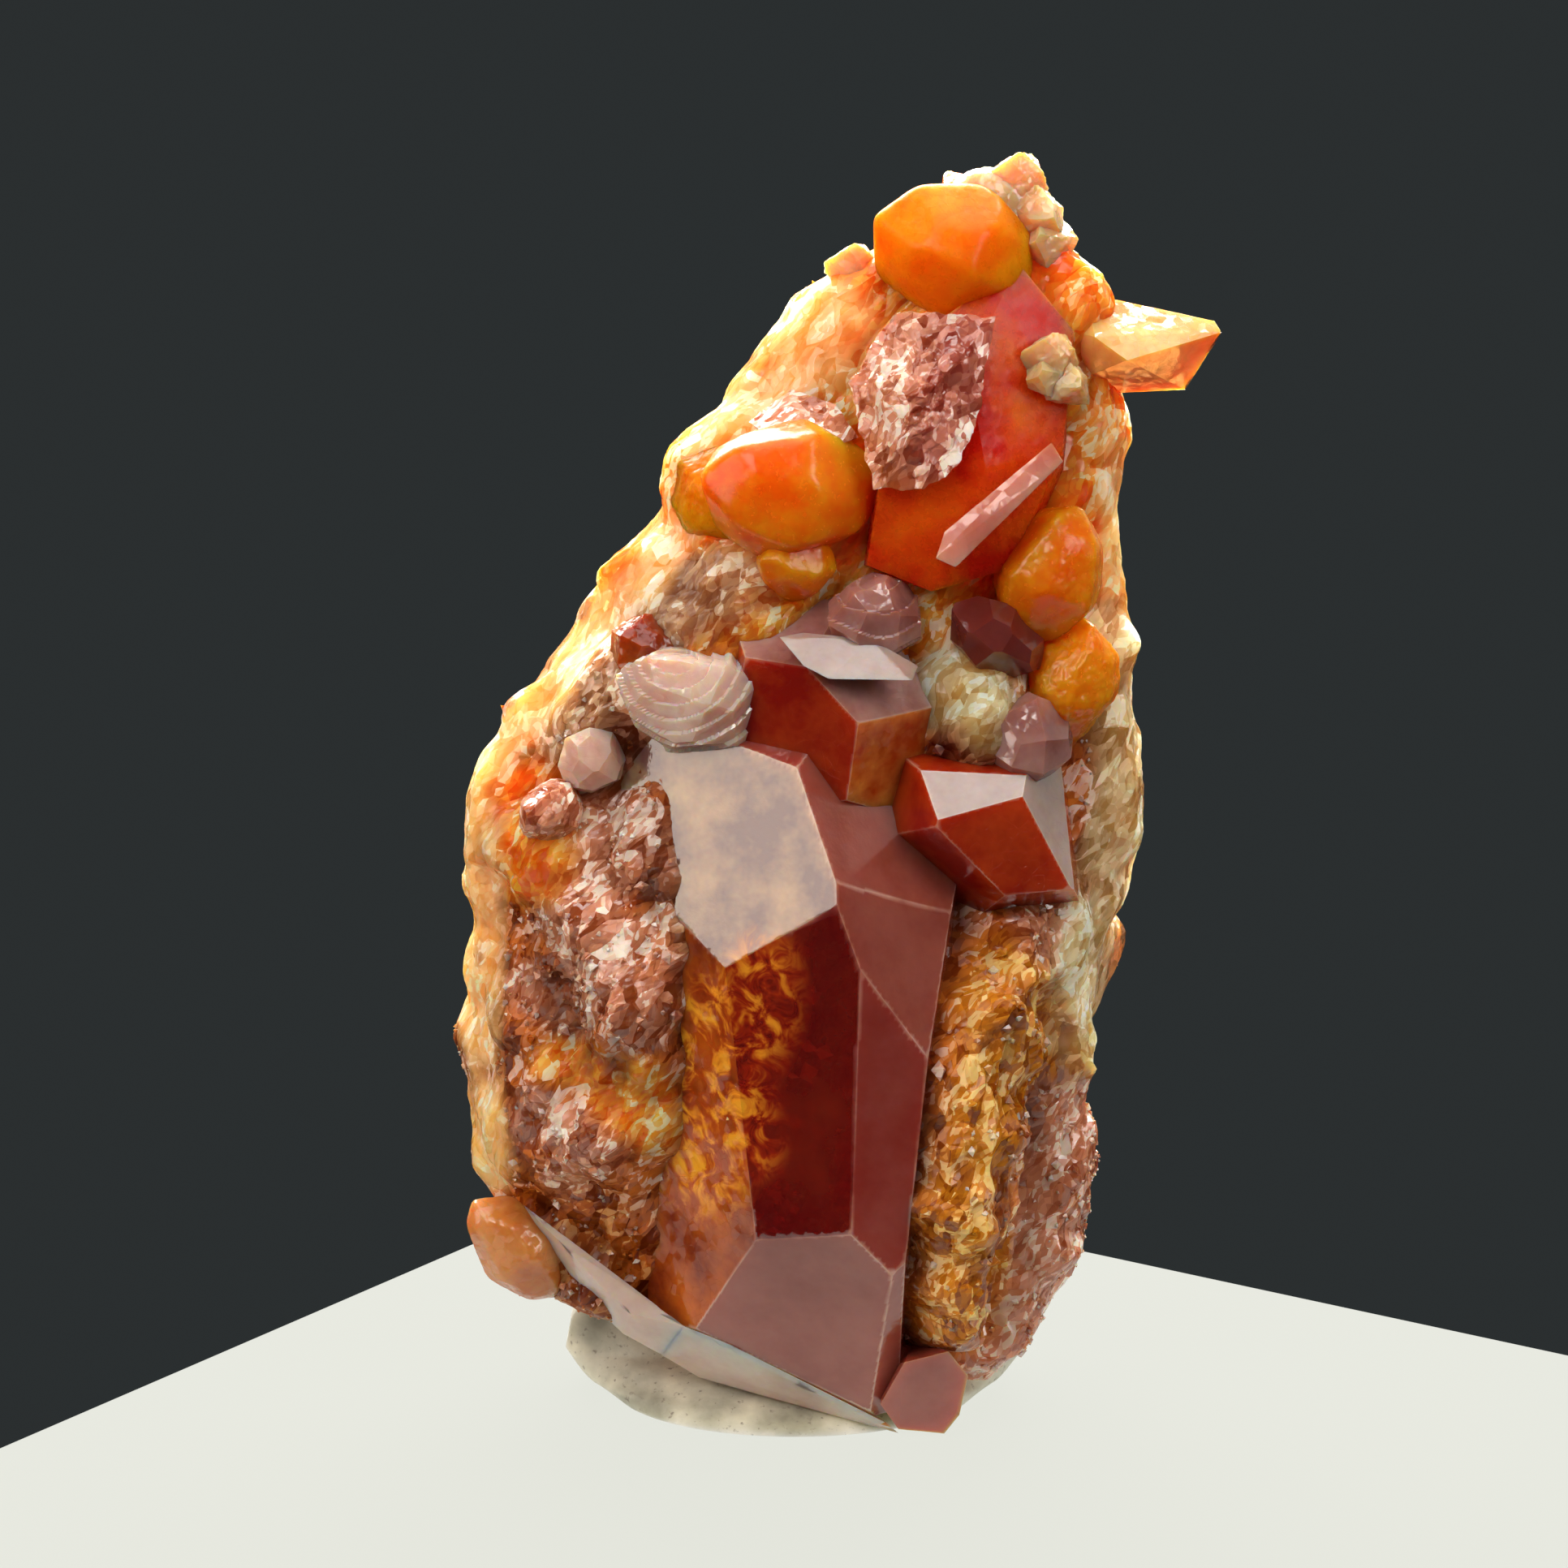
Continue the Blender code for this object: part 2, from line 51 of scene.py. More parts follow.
# %% Seen places become real places
MM = 0.001
SHIFT = np.array([0.19, -0.025, 0.0])
MIDDLE = np.array([-1.35, 0.0, 14.6])
EYE_DISTANCE = 149.0
EYE_RISE = math.radians(15.0)
FRAME_PIXELS = 1932.0
PIXELS_PER_MM = 54.0
RIGHT = np.array([1.0, 0.0, 0.0])
UP = np.array([0.0, math.sin(EYE_RISE), math.cos(EYE_RISE)])
EYE = MIDDLE + EYE_DISTANCE * np.array([0.0, -math.cos(EYE_RISE), math.sin(EYE_RISE)])


def sight(places):
    """Points on sight lines: the eye, plus the share of the way to the mark that reaches the depth."""
    places = np.asarray(places, float)
    mark = MIDDLE + places[..., :1] * RIGHT + places[..., 1:2] * UP
    share = (-places[..., 2] - EYE[1]) / (mark[..., 1] - EYE[1])
    return EYE + share[..., None] * (mark - EYE) + SHIFT


def seen(points):
    """Where the eye sees points: right and up of the middle, the opposite of sight."""
    away = np.asarray(points) - SHIFT - EYE
    ahead = away[..., 1] * math.cos(EYE_RISE) - away[..., 2] * math.sin(EYE_RISE)
    above = away[..., 1] * math.sin(EYE_RISE) + away[..., 2] * math.cos(EYE_RISE)
    return np.stack([away[..., 0], above], -1) * (EYE_DISTANCE / ahead)[..., None]


def band(points, paths):
    """Share of soft bands seen by the eye: 1 within half a radius of any path, 0 from one and a half on.
    The way to a path is the shortest one to its straight runs, each (radius, corner, corner and so on)."""
    at = seen(points)
    nearest = np.full(at.shape[:-1], np.inf)
    for radius, *corners in paths:
        for start, end in zip(corners, corners[1:] or corners):
            run = np.subtract(end, start)
            along = np.clip(((at - start) @ run) / max(run @ run, 1e-9), 0.0, 1.0)
            away = np.linalg.norm(at - start - along[..., None] * run, axis=-1)
            nearest = np.minimum(nearest, away / radius)
    return np.clip(1.5 - nearest, 0.0, 1.0)


def facing(turn, tilt):
    """The direction turned right of the front by turn and raised by tilt, in degrees."""
    turn, tilt = math.radians(turn), math.radians(tilt)
    return np.array([math.sin(turn) * math.cos(tilt), -math.cos(turn) * math.cos(tilt), math.sin(tilt)])


print("the eye is at", EYE.round(1), "mm and sees the middle at", seen(MIDDLE + SHIFT).round(2))

# %% [markdown]
# Stone is never smooth. Two kinds of noise give its roughness: a soft one for swells and
# stains, and a faceted one for the tiny crystal ends that cover etched garnet. Both are
# worked out for all points at once.

# %% Soft noise and faceted noise


def hashed(cells, seed):
    """A number from 0 to 1 for each cell: the far decimals of the sine of its mixed counts."""
    mix = cells @ np.array([127.1, 311.7, 74.7]) + 53.3 * seed
    return np.modf(np.abs(np.sin(mix)) * 43758.5453)[0]


def soft_noise(points, size, seed=0):
    """Noise from -1 to 1: hashed corners of a lattice, blended by the smooth step of the place between."""
    scaled = points / size
    cell = np.floor(scaled)
    part = scaled - cell
    smooth = part * part * (3.0 - 2.0 * part)
    total = np.zeros(points.shape[:-1])
    for corner in itertools.product((0, 1), repeat=3):
        weight = np.prod(np.where(corner, smooth, 1.0 - smooth), axis=-1)
        total += weight * hashed(cell + corner, seed)
    return 2.0 * total - 1.0


def facet_noise(points, size, seed=0):
    """Tiny crystal ends, 0 to 1: the highest of the pyramids that stand at hashed places near a point."""
    scaled = points / size
    home = np.floor(scaled)
    best = np.full(points.shape[:-1], -1.0)
    for corner in itertools.product((-1, 0, 1), repeat=3):
        cell = home + corner
        place = np.stack([hashed(cell, seed + axis) for axis in (1, 2, 3)], axis=-1)
        away = scaled - cell - place
        first = 2.0 * np.stack([hashed(cell, seed + axis) for axis in (4, 5, 6)], axis=-1) - 1.0
        first /= np.linalg.norm(first, axis=-1, keepdims=True) + 1e-9
        second = np.cross(first, place - 0.5)
        second /= np.linalg.norm(second, axis=-1, keepdims=True) + 1e-9
        third = np.cross(first, second)
        reach = np.abs((away * first).sum(-1))
        reach = np.maximum(reach, np.abs((away * second).sum(-1)))
        reach = np.maximum(reach, np.abs((away * third).sum(-1)))
        best = np.maximum(best, 1.0 - reach)
    return best


print("noise at three places", soft_noise(np.eye(3), 0.7).round(2), facet_noise(np.eye(3), 0.7).round(2))

# %% [markdown]
# Every new surface is a grid that closes round on itself: rows run upwards, columns run
# round, and one point closes each end. Its faces come from whole arrays of counts, and
# each square may be split along either of its diagonals.

# %% A closed grid becomes a mesh


def grid_triangles(rows, columns, other=None):
    """Triangles of the rings of a closed grid, with one point below them and one above."""
    ring, column = np.meshgrid(np.arange(rows - 1), np.arange(columns), indexing="ij")
    after = (column + 1) % columns
    low_left, low_right = 1 + ring * columns + column, 1 + ring * columns + after
    up_left, up_right = low_left + columns, low_right + columns
    if other is None:
        other = np.zeros(ring.shape, bool)
    first = np.where(other[..., None], np.stack([low_left, low_right, up_left], -1),
                     np.stack([low_left, low_right, up_right], -1))
    second = np.where(other[..., None], np.stack([low_right, up_right, up_left], -1),
                      np.stack([low_left, up_right, up_left], -1))
    around, beside = np.arange(columns), (np.arange(columns) + 1) % columns
    last = 1 + (rows - 1) * columns
    below = np.stack([np.zeros(columns, int), 1 + beside, 1 + around], -1)
    above = np.stack([last + around, last + beside, np.full(columns, last + columns)], -1)
    return np.concatenate([first.reshape(-1, 3), second.reshape(-1, 3), below, above])


def make_piece(name, points, triangles, marks=None, sharp=30.0):
    """Put points in millimetres and triangles into a new object, with one attribute for each mark."""
    mesh = bpy.data.meshes.new(name)
    mesh.vertices.add(len(points))
    mesh.vertices.foreach_set("co", (points * MM).astype(np.float32).ravel())
    mesh.loops.add(triangles.size)
    mesh.loops.foreach_set("vertex_index", triangles.astype(np.int32).ravel())
    mesh.polygons.add(len(triangles))
    mesh.polygons.foreach_set("loop_start", np.arange(0, triangles.size, 3, dtype=np.int32))
    mesh.update(calc_edges=True)
    mesh.validate()
    for mark, values in (marks or {}).items():
        attribute = mesh.attributes.new(mark, "FLOAT", "POINT")
        attribute.data.foreach_set("value", values.astype(np.float32).ravel())
    mesh.shade_smooth()
    mesh.set_sharp_from_angle(angle=math.radians(sharp))
    piece = bpy.data.objects.new(name, mesh)
    bpy.context.scene.collection.objects.link(piece)
    print(f"{name}: {len(triangles)} triangles")
    return piece


print("a closed grid of 3 rings of 4 has", len(grid_triangles(3, 4)), "triangles")

# %% [markdown]
# A crystal is the room inside its flat faces. Seen from a point in its heart, the surface
# in any direction is the nearest face plane, so one formula gives any convex crystal on a
# polar grid.

# %% Reach of the face planes


def polar_grid(rows, columns, stretch):
    """Directions from a heart: rows of height from the sine of a latitude, stretched to the form."""
    latitude = math.pi * ((np.arange(rows) + 1.0) / (rows + 1.0) - 0.5)
    longitude = 2.0 * math.pi * np.arange(columns) / columns
    tall, around = np.meshgrid(latitude, longitude, indexing="ij")
    way = np.stack([np.cos(tall) * np.cos(around), np.cos(tall) * np.sin(around), np.sin(tall)], -1)
    way = way * stretch
    return way / np.linalg.norm(way, axis=-1, keepdims=True)


def plane_reach(ways, heart, normals, distances):
    """How far each face plane is along each way from the heart; a plane faced away from is far off."""
    slope = ways @ normals.T
    room = distances - normals @ heart
    return np.where(slope > 1e-6, room / np.maximum(slope, 1e-6), 1e6)


print("a small polar grid has", polar_grid(4, 6, (1, 1, 1)).reshape(-1, 3).shape[0], "ways")

# %% [markdown]
# A grid alone would leave saw teeth along the crystal's edges. So each point next to an
# edge is moved onto it: onto the line where its own plane meets its neighbour's, or onto
# the corner where three planes meet. That gives edges as straight as a real crystal's.

# %% Points snapped to the edges
LONGEST_MOVE = 0.6


def snap_to_edges(points, own, reach, normals, distances):
    """Move points onto the line of two planes, or the corner of three, that passes nearest to them."""
    partners = np.full((4, *own.shape), -1)
    nearness = np.full((4, *own.shape), np.inf)
    for number, (axis, step) in enumerate(((1, -1), (1, 1), (0, -1), (0, 1))):
        beside = np.roll(own, step, axis)
        reach_beside = np.roll(reach, step, axis)
        mine, other = own[..., None], beside[..., None]
        here = np.take_along_axis(reach, other, -1) - np.take_along_axis(reach, mine, -1)
        there = np.take_along_axis(reach_beside, mine, -1) - np.take_along_axis(reach_beside, other, -1)
        share = (here / (here + there + 1e-12))[..., 0]
        crossed = (beside != own) & (share <= 0.5)
        if axis == 0:
            crossed[0 if step == 1 else -1] = False
        partners[number] = np.where(crossed, beside, -1)
        nearness[number] = np.where(crossed, share, np.inf)
    nearest = nearness.argmin(0)
    partner = np.take_along_axis(partners, nearest[None], 0)[0]
    third = np.where((partners >= 0) & (partners != partner), partners, -1).max(0)
    moved = points.copy()
    on_edge = (partner >= 0) & (third < 0)
    a, b = normals[own[on_edge]], normals[partner[on_edge]]
    along = b - (a * b).sum(-1, keepdims=True) * a
    lack = distances[partner[on_edge]] - (b * points[on_edge]).sum(-1)
    moved[on_edge] += (lack / np.maximum((b * along).sum(-1), 1e-6))[:, None] * along
    corner = (partner >= 0) & (third >= 0)
    trio = np.stack([own[corner], partner[corner], third[corner]], -1)
    matrix = normals[trio]
    fit = np.abs(np.linalg.det(matrix)) > 1e-3
    solved = points[corner]
    if fit.any():
        solved[fit] = np.linalg.solve(matrix[fit], distances[trio[fit]][..., None])[..., 0]
    moved[corner] = solved
    far = np.linalg.norm(moved - points, axis=-1) > LONGEST_MOVE
    moved[far] = points[far]
    return moved, (partner >= 0) & ~far


# %% [markdown]
# The whole grid follows: reach, nearest plane, snapped points, and the squares beside an
# edge split along it. The poles get one point each, so nothing stays open.

# %% A crystal's closed grid


def crystal_grid(heart, normals, distances, rows, columns, stretch):
    """The nearest plane along every way from the heart, its points snapped to the crystal's edges."""
    ways = polar_grid(rows, columns, stretch)
    reach = plane_reach(ways, heart, normals, distances)
    own = reach.argmin(-1)
    points = heart + ways * reach.min(-1)[..., None]
    points, snapped = snap_to_edges(points, own, reach, normals, distances)
    low, high = snapped[:-1], snapped[1:]
    other = np.roll(low, -1, 1) & high & ~(low & np.roll(high, -1, 1))
    ends = plane_reach(np.array([[0.0, 0.0, -1.0], [0.0, 0.0, 1.0]]), heart, normals, distances).min(-1)
    ends = heart + np.array([[0.0, 0.0, -ends[0]], [0.0, 0.0, ends[1]]])
    return points, ways, own, snapped, grid_triangles(rows, columns, other), ends


def closed(ends, points):
    """The grid's points in the order that its triangles count them: low end, rings, high end."""
    return np.concatenate([ends[:1], points.reshape(-1, 3), ends[1:]])


def closed_mark(values):
    """An attribute's values in the same order, each end taking its ring's mean."""
    return np.concatenate([[values[0].mean()], values.ravel(), [values[-1].mean()]])


print("a mark on 3 rings of 4 has", len(closed_mark(np.zeros((3, 4)))), "values")

# %% [markdown]
# The faces of a real crystal differ: one is as bright as glass, the next is eaten by
# etching. Each face gets a depth of etching, and noise of that depth moves its points
# in and out. Some crystals are half dissolved, with round edges, and some have curved
# growth terraces. An attribute marks the worn edges, so that the finish can make them pale.

# %% Etched, melted and terraced crystals
EDGE_ANGLE = 25.0


def etched(points, ways, depth, grain, seed):
    """Move points along their ways by faceted and soft noise, as deep as each point's etching."""
    flat = points.reshape(-1, 3)
    rough = 0.65 * facet_noise(flat, grain, seed) + 0.35 * facet_noise(flat, grain * 0.45, seed + 20)
    rough = (rough - 0.45).reshape(depth.shape)
    swell = soft_noise(flat, grain * 3.0, seed + 40).reshape(depth.shape)
    return points + ways * (depth * (2.0 * rough + 0.5 * swell))[..., None]


def crystal_piece(name, normals, distances, depths, rows, columns, stretch=(1, 1, 1), *, heart,
                  grain=0.6, seed=1, bands=None, zones=None, melted=0.0, worn=0.0):
    """A whole crystal: planes, edges, etching; depths holds the etching of every face, in millimetres.
    A melted one has round edges: its reach is a soft minimum of its planes' reaches, of that power.
    Bands, if any, are curved terraces: a depth times the far decimals of the distance from a place.
    Zones name soft bands to mark on it, and worn is how pale its edges are.
    Each triangle's material index is its face plane, the one that its middle lies furthest out to."""
    grid = crystal_grid(heart, normals, distances, rows, columns, stretch)
    points, ways, own, snapped, triangles, ends = grid
    depth = np.asarray(depths, float)[own]
    depth = 0.4 * depth + 0.15 * sum(np.roll(depth, step, axis) for axis in (0, 1) for step in (-1, 1))
    if melted:
        reach = plane_reach(ways, heart, normals, distances)
        points = heart + ways * ((reach ** -melted).sum(-1) ** (-1.0 / melted))[..., None]
    points = etched(points, ways, depth, grain, seed)
    if bands is not None:
        centre, spacing, height = bands
        steps = np.linalg.norm(points - centre, axis=-1) / spacing + 0.3 * soft_noise(points, 1.0, seed)
        points = points - ways * (height * np.modf(steps)[0])[..., None]
    points = closed(ends, points)
    marks = {mark: band(points, paths) for mark, paths in (zones or {}).items()}
    marks["edge"] = closed_mark(snapped * worn)
    piece = make_piece(name, points, triangles, marks, 180.0 if melted else EDGE_ANGLE)
    sides = (points[triangles].mean(1) @ normals.T - distances).argmax(-1)
    piece.data.polygons.foreach_set("material_index", sides.astype(np.int32))
    return piece


# %% [markdown]
# The great crystal fills the lower half of the good side. Its faces are given by how
# they are turned and tilted, one seen point on each, and a depth of etching. The hidden
# planes behind close it inside the mass that it grew from. Embers mark healed cracks close
# behind the front, whose orange glow is painted into the face's colour.

# %% The great crystal
GREAT_FACES = {
    "front": (-20, -3, (1.74, -4.24, 6.0), 0.0),
    "front_right": (10, -4, (1.74, -4.24, 6.0), 0.0),
    "shoulder_left": (-32, 15, (1.13, -2.61, 5.8), 0.0),
    "shoulder_right": (39, 16, (1.74, -4.24, 6.0), 0.0),
    "top_right": (47, 33, (1.78, -3.06, 5.85), 0.003),
    "etched_left": (-58, 6, (-3.9, -5.0, 3.9), 0.1),
    "lower_front": (-16, -25, (1.67, -9.83, 5.9), 0.012),
    "lower_right": (35, -26, (2.35, -10.83, 5.75), 0.003),
    "lower_left": (-45, -5, (-0.5, -9.83, 5.0), 0.03),
    "bevel": (-38, -50, (-2.28, -12.37, 2.8), 0.0),
    "bevel_left": (-62, -38, (-4.2, -11.44, 1.0), 0.004),
    "right": (82, -6, (3.3, -6.2, 5.5), 0.03),
    "top": (-10, 68, (-0.75, 0.35, 4.4), 0.03),
    "under": (-75, -80, (-1.93, -13.45, 0.8), 0.02),
}


def seen_planes(faces, hidden):
    """Outward directions and distances of seen faces, then of hidden planes given by a point on each."""
    normals = [facing(turn, tilt) for turn, tilt, _, _ in faces.values()]
    places = [sight(mark) for _, _, mark, _ in faces.values()]
    normals += [np.array(normal, float) for normal, _ in hidden]
    places += [np.array(place, float) + SHIFT for _, place in hidden]
    normals = np.array([normal / np.linalg.norm(normal) for normal in normals])
    depths = [depth for _, _, _, depth in faces.values()] + [0.03] * len(hidden)
    return normals, (normals * np.array(places)).sum(-1), depths


GREAT_HIDDEN = [((0, 1, 0), (0, 0.8, 0)), ((0, 0, -1), (0, 0, 0.45)), (facing(180, 50), (0, 0.8, 14.0)),
                ((1, 0, 0), (4.3, 0, 0)), ((-1, 0, 0), (-7.2, 0, 0))]
normals, distances, depths = seen_planes(GREAT_FACES, GREAT_HIDDEN)
PAINTED_CRACK_GLOW_PATHS = ((0.75, (-0.5, -4.2), (-0.5, -5.4), (-1.2, -6.6), (-0.9, -8.2)),
          (0.9, (-1.5, -5.2), (-2.0, -7.4), (-1.8, -8.9)))
great = crystal_piece("great_crystal", normals, distances, depths, 230, 400, (6.0, 4.0, 10.0),
                      heart=np.array([-0.5, -1.6, 8.0]), seed=3, zones={"painted_crack_glow": PAINTED_CRACK_GLOW_PATHS}, worn=0.9)
great_normals, great_distances = normals, distances

# %% [markdown]
# Two smaller crystals with faces of their own sit on its shoulder: one right of the
# middle, dark red and brown, and one that ends in a ledge with two bars of painted grey sheen.

# %% The middle crystal and the ledge crystal
MIDDLE_FACES = {
    "left": (-25, -8, (1.69, 1.39, 4.7), 0.0),
    "right": (40, -14, (1.69, 1.39, 4.7), 0.02),
    "top": (40, 40, (1.69, 1.39, 4.7), 0.0),
    "upper_left": (-20, 62, (0.3, 2.9, 4.0), 0.0),
    "side_left": (-75, 5, (-1.1, 1.6, 3.4), 0.02),
    "side_right": (85, 10, (3.55, 1.4, 3.2), 0.03),
    "under": (0, -60, (1.3, -0.4, 4.2), 0.02),
}
LEDGE_FACES = {
    "front": (18, -4, (4.8, -1.3, 4.5), 0.01),
    "top_bar": (5, 48, (4.1, -0.1, 4.3), 0.0),
    "right_bar": (62, 18, (5.9, -0.9, 4.0), 0.0),
    "left": (-60, 10, (3.0, -0.2, 4.0), 0.02),
    "right": (86, 8, (6.45, -0.8, 3.0), 0.03),
    "top": (20, 80, (4.2, 0.25, 4.0), 0.02),
    "under_left": (-40, -40, (4.1, -1.8, 4.4), 0.02),
    "under": (20, -60, (6.0, -2.4, 4.2), 0.02),
}
BACK_PLANE = [((0, 1, 0), (0, 0.2, 0))]
faceted = {"great_crystal": great}
SHOULDER_CRYSTALS = {"middle_crystal": (MIDDLE_FACES, (1.1, 1.3, 2.0)),
                     "ledge_crystal": (LEDGE_FACES, (4.8, -1.0, 2.0))}
for name, (faces, place) in SHOULDER_CRYSTALS.items():
    normals, distances, depths = seen_planes(faces, BACK_PLANE)
    faceted[name] = crystal_piece(name, normals, distances, depths, 90, 180, (1.0, 1.3, 1.0),
                                  heart=sight(place), seed=5, worn=0.7)

# %% [markdown]
# Left to itself a garnet grows as a trapezohedron, twenty-four equal kite faces. Most of
# the crystals here are that form, stretched, turned and half buried. Their face planes
# are the form's own, carried through the same turn and stretch.

# %% The garnet's own form
FORM = np.array(sorted({tuple(np.multiply(signs, order)) for order in itertools.permutations((1, 1, 2))
                        for signs in itertools.product((-1, 1), repeat=3)}), float)
FORM /= np.linalg.norm(FORM, axis=-1, keepdims=True)


def turn_matrix(turn):
    """The matrix of turns about x, then y, then z, in degrees."""
    (cx, sx), (cy, sy), (cz, sz) = [(math.cos(math.radians(a)), math.sin(math.radians(a))) for a in turn]
    about_x = np.array([[1, 0, 0], [0, cx, -sx], [0, sx, cx]])
    about_y = np.array([[cy, 0, sy], [0, 1, 0], [-sy, 0, cy]])
    about_z = np.array([[cz, -sz, 0], [sz, cz, 0], [0, 0, 1]])
    return about_z @ about_y @ about_x


def form_planes(place, size, turn, stretch, seed):
    """The form's planes after the stretch and turn, each pushed in or out a little as real faces are."""
    shape = turn_matrix(turn) @ np.diag(stretch) * size
    normals = FORM @ np.linalg.inv(shape)
    length = np.linalg.norm(normals, axis=-1, keepdims=True)
    push = 1.0 + 0.09 * (2.0 * hashed(FORM * 7.0, seed) - 1.0)
    return normals / length, push / length[:, 0] + (normals / length) @ place


print("the form has", len(FORM), "faces")

# %% [markdown]
# Each crystal of the good side is a seen place, a size, a turn, a stretch and a depth of
# etching. The orange ones at the top and the sides are half dissolved, so they are melted.
# Two are terraced, and a few carry a zone of silvery crust.

# %% Crystals of the good side
MELTED_POWER = 26.0
SEEN_CRYSTALS = {
    "top_orange": ((3.87, 12.1, 0.7), 1.6, (10, 25, 15), (1.05, 0.9, 0.95), 0.01),
    "summit_cap": ((4.75, 13.35, 0.0), 0.85, (20, 15, 40), (1.1, 0.9, 0.75), 0.04),
    "left_orange": ((0.15, 6.7, 2.3), 1.75, (35, 10, 20), (1.05, 0.85, 0.86), 0.01),
    "left_orange_back": ((-1.3, 6.6, 1.3), 1.15, (5, 40, 0), (1.0, 0.9, 1.0), 0.05),
    "brown_small": ((0.3, 5.02, 2.7), 0.8, (0, 15, 40), (1.1, 0.9, 0.9), 0.02),
    "right_orange": ((6.0, 4.75, 2.3), 1.25, (20, 15, 50), (0.95, 0.9, 1.12), 0.03),
    "dark": ((4.85, 3.4, 2.9), 0.95, (15, 35, 10), (1.1, 0.9, 0.8), 0.01),
    "mauve_block": ((2.07, 3.72, 3.0), 1.05, (25, 5, 35), (1.05, 0.9, 0.92), 0.01),
    "shell": ((-1.95, 1.9, 2.9), 1.45, (40, 20, 0), (1.12, 0.75, 0.9), 0.03),
    "small_mauve": ((-4.37, 0.57, 2.5), 0.68, (10, 40, 20), (1.0, 0.8, 1.0), 0.02),
    "right_mauve": ((5.55, 1.0, 3.1), 0.95, (30, 0, 25), (0.95, 0.9, 1.05), 0.01),
    "lower_left": ((-6.05, -10.55, 1.2), 1.05, (0, -38, 15), (0.85, 0.9, 1.25), 0.02),
    "right_chunk": ((6.5, 2.3, 2.2), 1.2, (10, 15, 5), (0.8, 0.9, 1.15), 0.07),
    "pink_left": ((-5.3, -0.6, 2.6), 0.75, (30, 10, 60), (1.1, 0.8, 0.9), 0.05),
    "tan_crystal": ((-3.0, 3.0, 2.0), 0.9, (10, 30, 45), (1.1, 0.9, 0.9), 0.06),
}
grown = {}
EVERYWHERE = ((99.0, (0.0, 0.0)),)
SILVERED = {name: {"silver": EVERYWHERE} for name in ("left_wedge", "pink_left")}
SILVERED["etched_patch"] = {"silver": EVERYWHERE, "burgundy": ((0.9, (4.2, 10.2), (3.9, 8.8), (3.6, 7.7)),)}
MELTED = ("top_orange", "left_orange", "left_orange_back", "right_orange", "right_chunk", "summit_cap",
          "lower_left", "brown_small")
BANDS = {"shell": (sight((-2.6, 3.2, 3.6)), 0.33, 0.09), "mauve_block": (sight((2.3, 6.5, 3.4)), 0.42, 0.06)}
for number, (name, (place, size, turn, stretch, depth)) in enumerate(SEEN_CRYSTALS.items()):
    heart = sight(place)
    normals, distances = form_planes(heart, size, turn, stretch, number)
    grown[name] = crystal_piece(name, normals, distances, [depth] * len(FORM), 90, 180, heart=heart,
                                grain=0.35, seed=number, bands=BANDS.get(name), zones=SILVERED.get(name),
                                melted=MELTED_POWER if name in MELTED else 0.0)

# %% [markdown]
# The back was never meant for show, but it is as real: larger crystals stand out of it,
# each with a little etching. Nobody has seen it, so their places are free.

# %% Crystals on the back
BACK_CRYSTALS = {
    "back_great": ((-1.0, 2.8, 9.0), 3.0, (20, 10, 30), (1.15, 0.9, 1.2), 0.05),
    "back_lower": ((-4.0, 2.6, 4.8), 2.1, (5, 40, 10), (1.0, 0.9, 1.0), 0.08),
    "back_right": ((3.0, 2.8, 5.6), 1.9, (50, 15, 0), (0.95, 1.0, 1.1), 0.02),
    "back_left": ((-5.0, 2.6, 12.8), 2.0, (25, 30, 70), (1.0, 0.9, 1.1), 0.06),
    "back_middle": ((2.6, 2.8, 13.2), 2.1, (60, 20, 15), (1.1, 0.8, 1.1), 0.04),
    "back_step": ((-1.8, 2.8, 16.8), 1.7, (10, 50, 30), (1.1, 0.9, 1.0), 0.03),
    "back_upper": ((2.4, 2.5, 19.4), 1.8, (35, 5, 40), (1.1, 0.8, 1.15), 0.03),
    "back_high": ((1.4, 2.3, 22.8), 1.4, (15, 25, 60), (1.1, 0.8, 1.2), 0.02),
    "back_top": ((3.4, 1.5, 25.6), 1.2, (45, 15, 20), (1.0, 0.8, 1.1), 0.02),
}
behind = {}
for number, (name, (place, size, turn, stretch, depth)) in enumerate(BACK_CRYSTALS.items()):
    heart = np.array(place) + SHIFT
    normals, distances = form_planes(heart, size, turn, stretch, 30 + number)
    behind[name] = crystal_piece(name, normals, distances, [depth] * len(FORM), 90, 180, heart=heart,
                                 seed=40 + number)

# %% [markdown]
# A few crystals are broken or too uneven for the form: the long red trunk, the etched
# patch on it, the thin wing, a bar, a plate, the bevel under the great crystal, painted
# pale as a reflection, and the block at its corner. Each is the room inside its seen
# corners. Every plane through three corners that has all the others behind it is a face.

# %% Faces of the room inside some corners


def hull_planes(corners):
    """Planes of the convex form: through three corners, outward, with every corner behind them."""
    trios = np.array(list(itertools.combinations(range(len(corners)), 3)))
    a, b, c = corners[trios[:, 0]], corners[trios[:, 1]], corners[trios[:, 2]]
    normals = np.cross(b - a, c - a)
    size = np.linalg.norm(normals, axis=-1)
    normals, a = normals[size > 1e-6] / size[size > 1e-6][:, None], a[size > 1e-6]
    distances = (normals * a).sum(-1)
    ahead = corners @ normals.T - distances
    outward, inward = (ahead < 1e-6).all(0), (ahead > -1e-6).all(0)
    return (np.concatenate([normals[outward], -normals[inward]]),
            np.concatenate([distances[outward], -distances[inward]]))


four_corners = np.concatenate([np.zeros((1, 3)), np.eye(3)])
print("four corners give", len(hull_planes(four_corners)[0]), "faces")

# %% [markdown]
# The corners are seen places, listed with the depth of etching. The bevel is two pieces,
# because it bends where the great crystal's lower front begins.

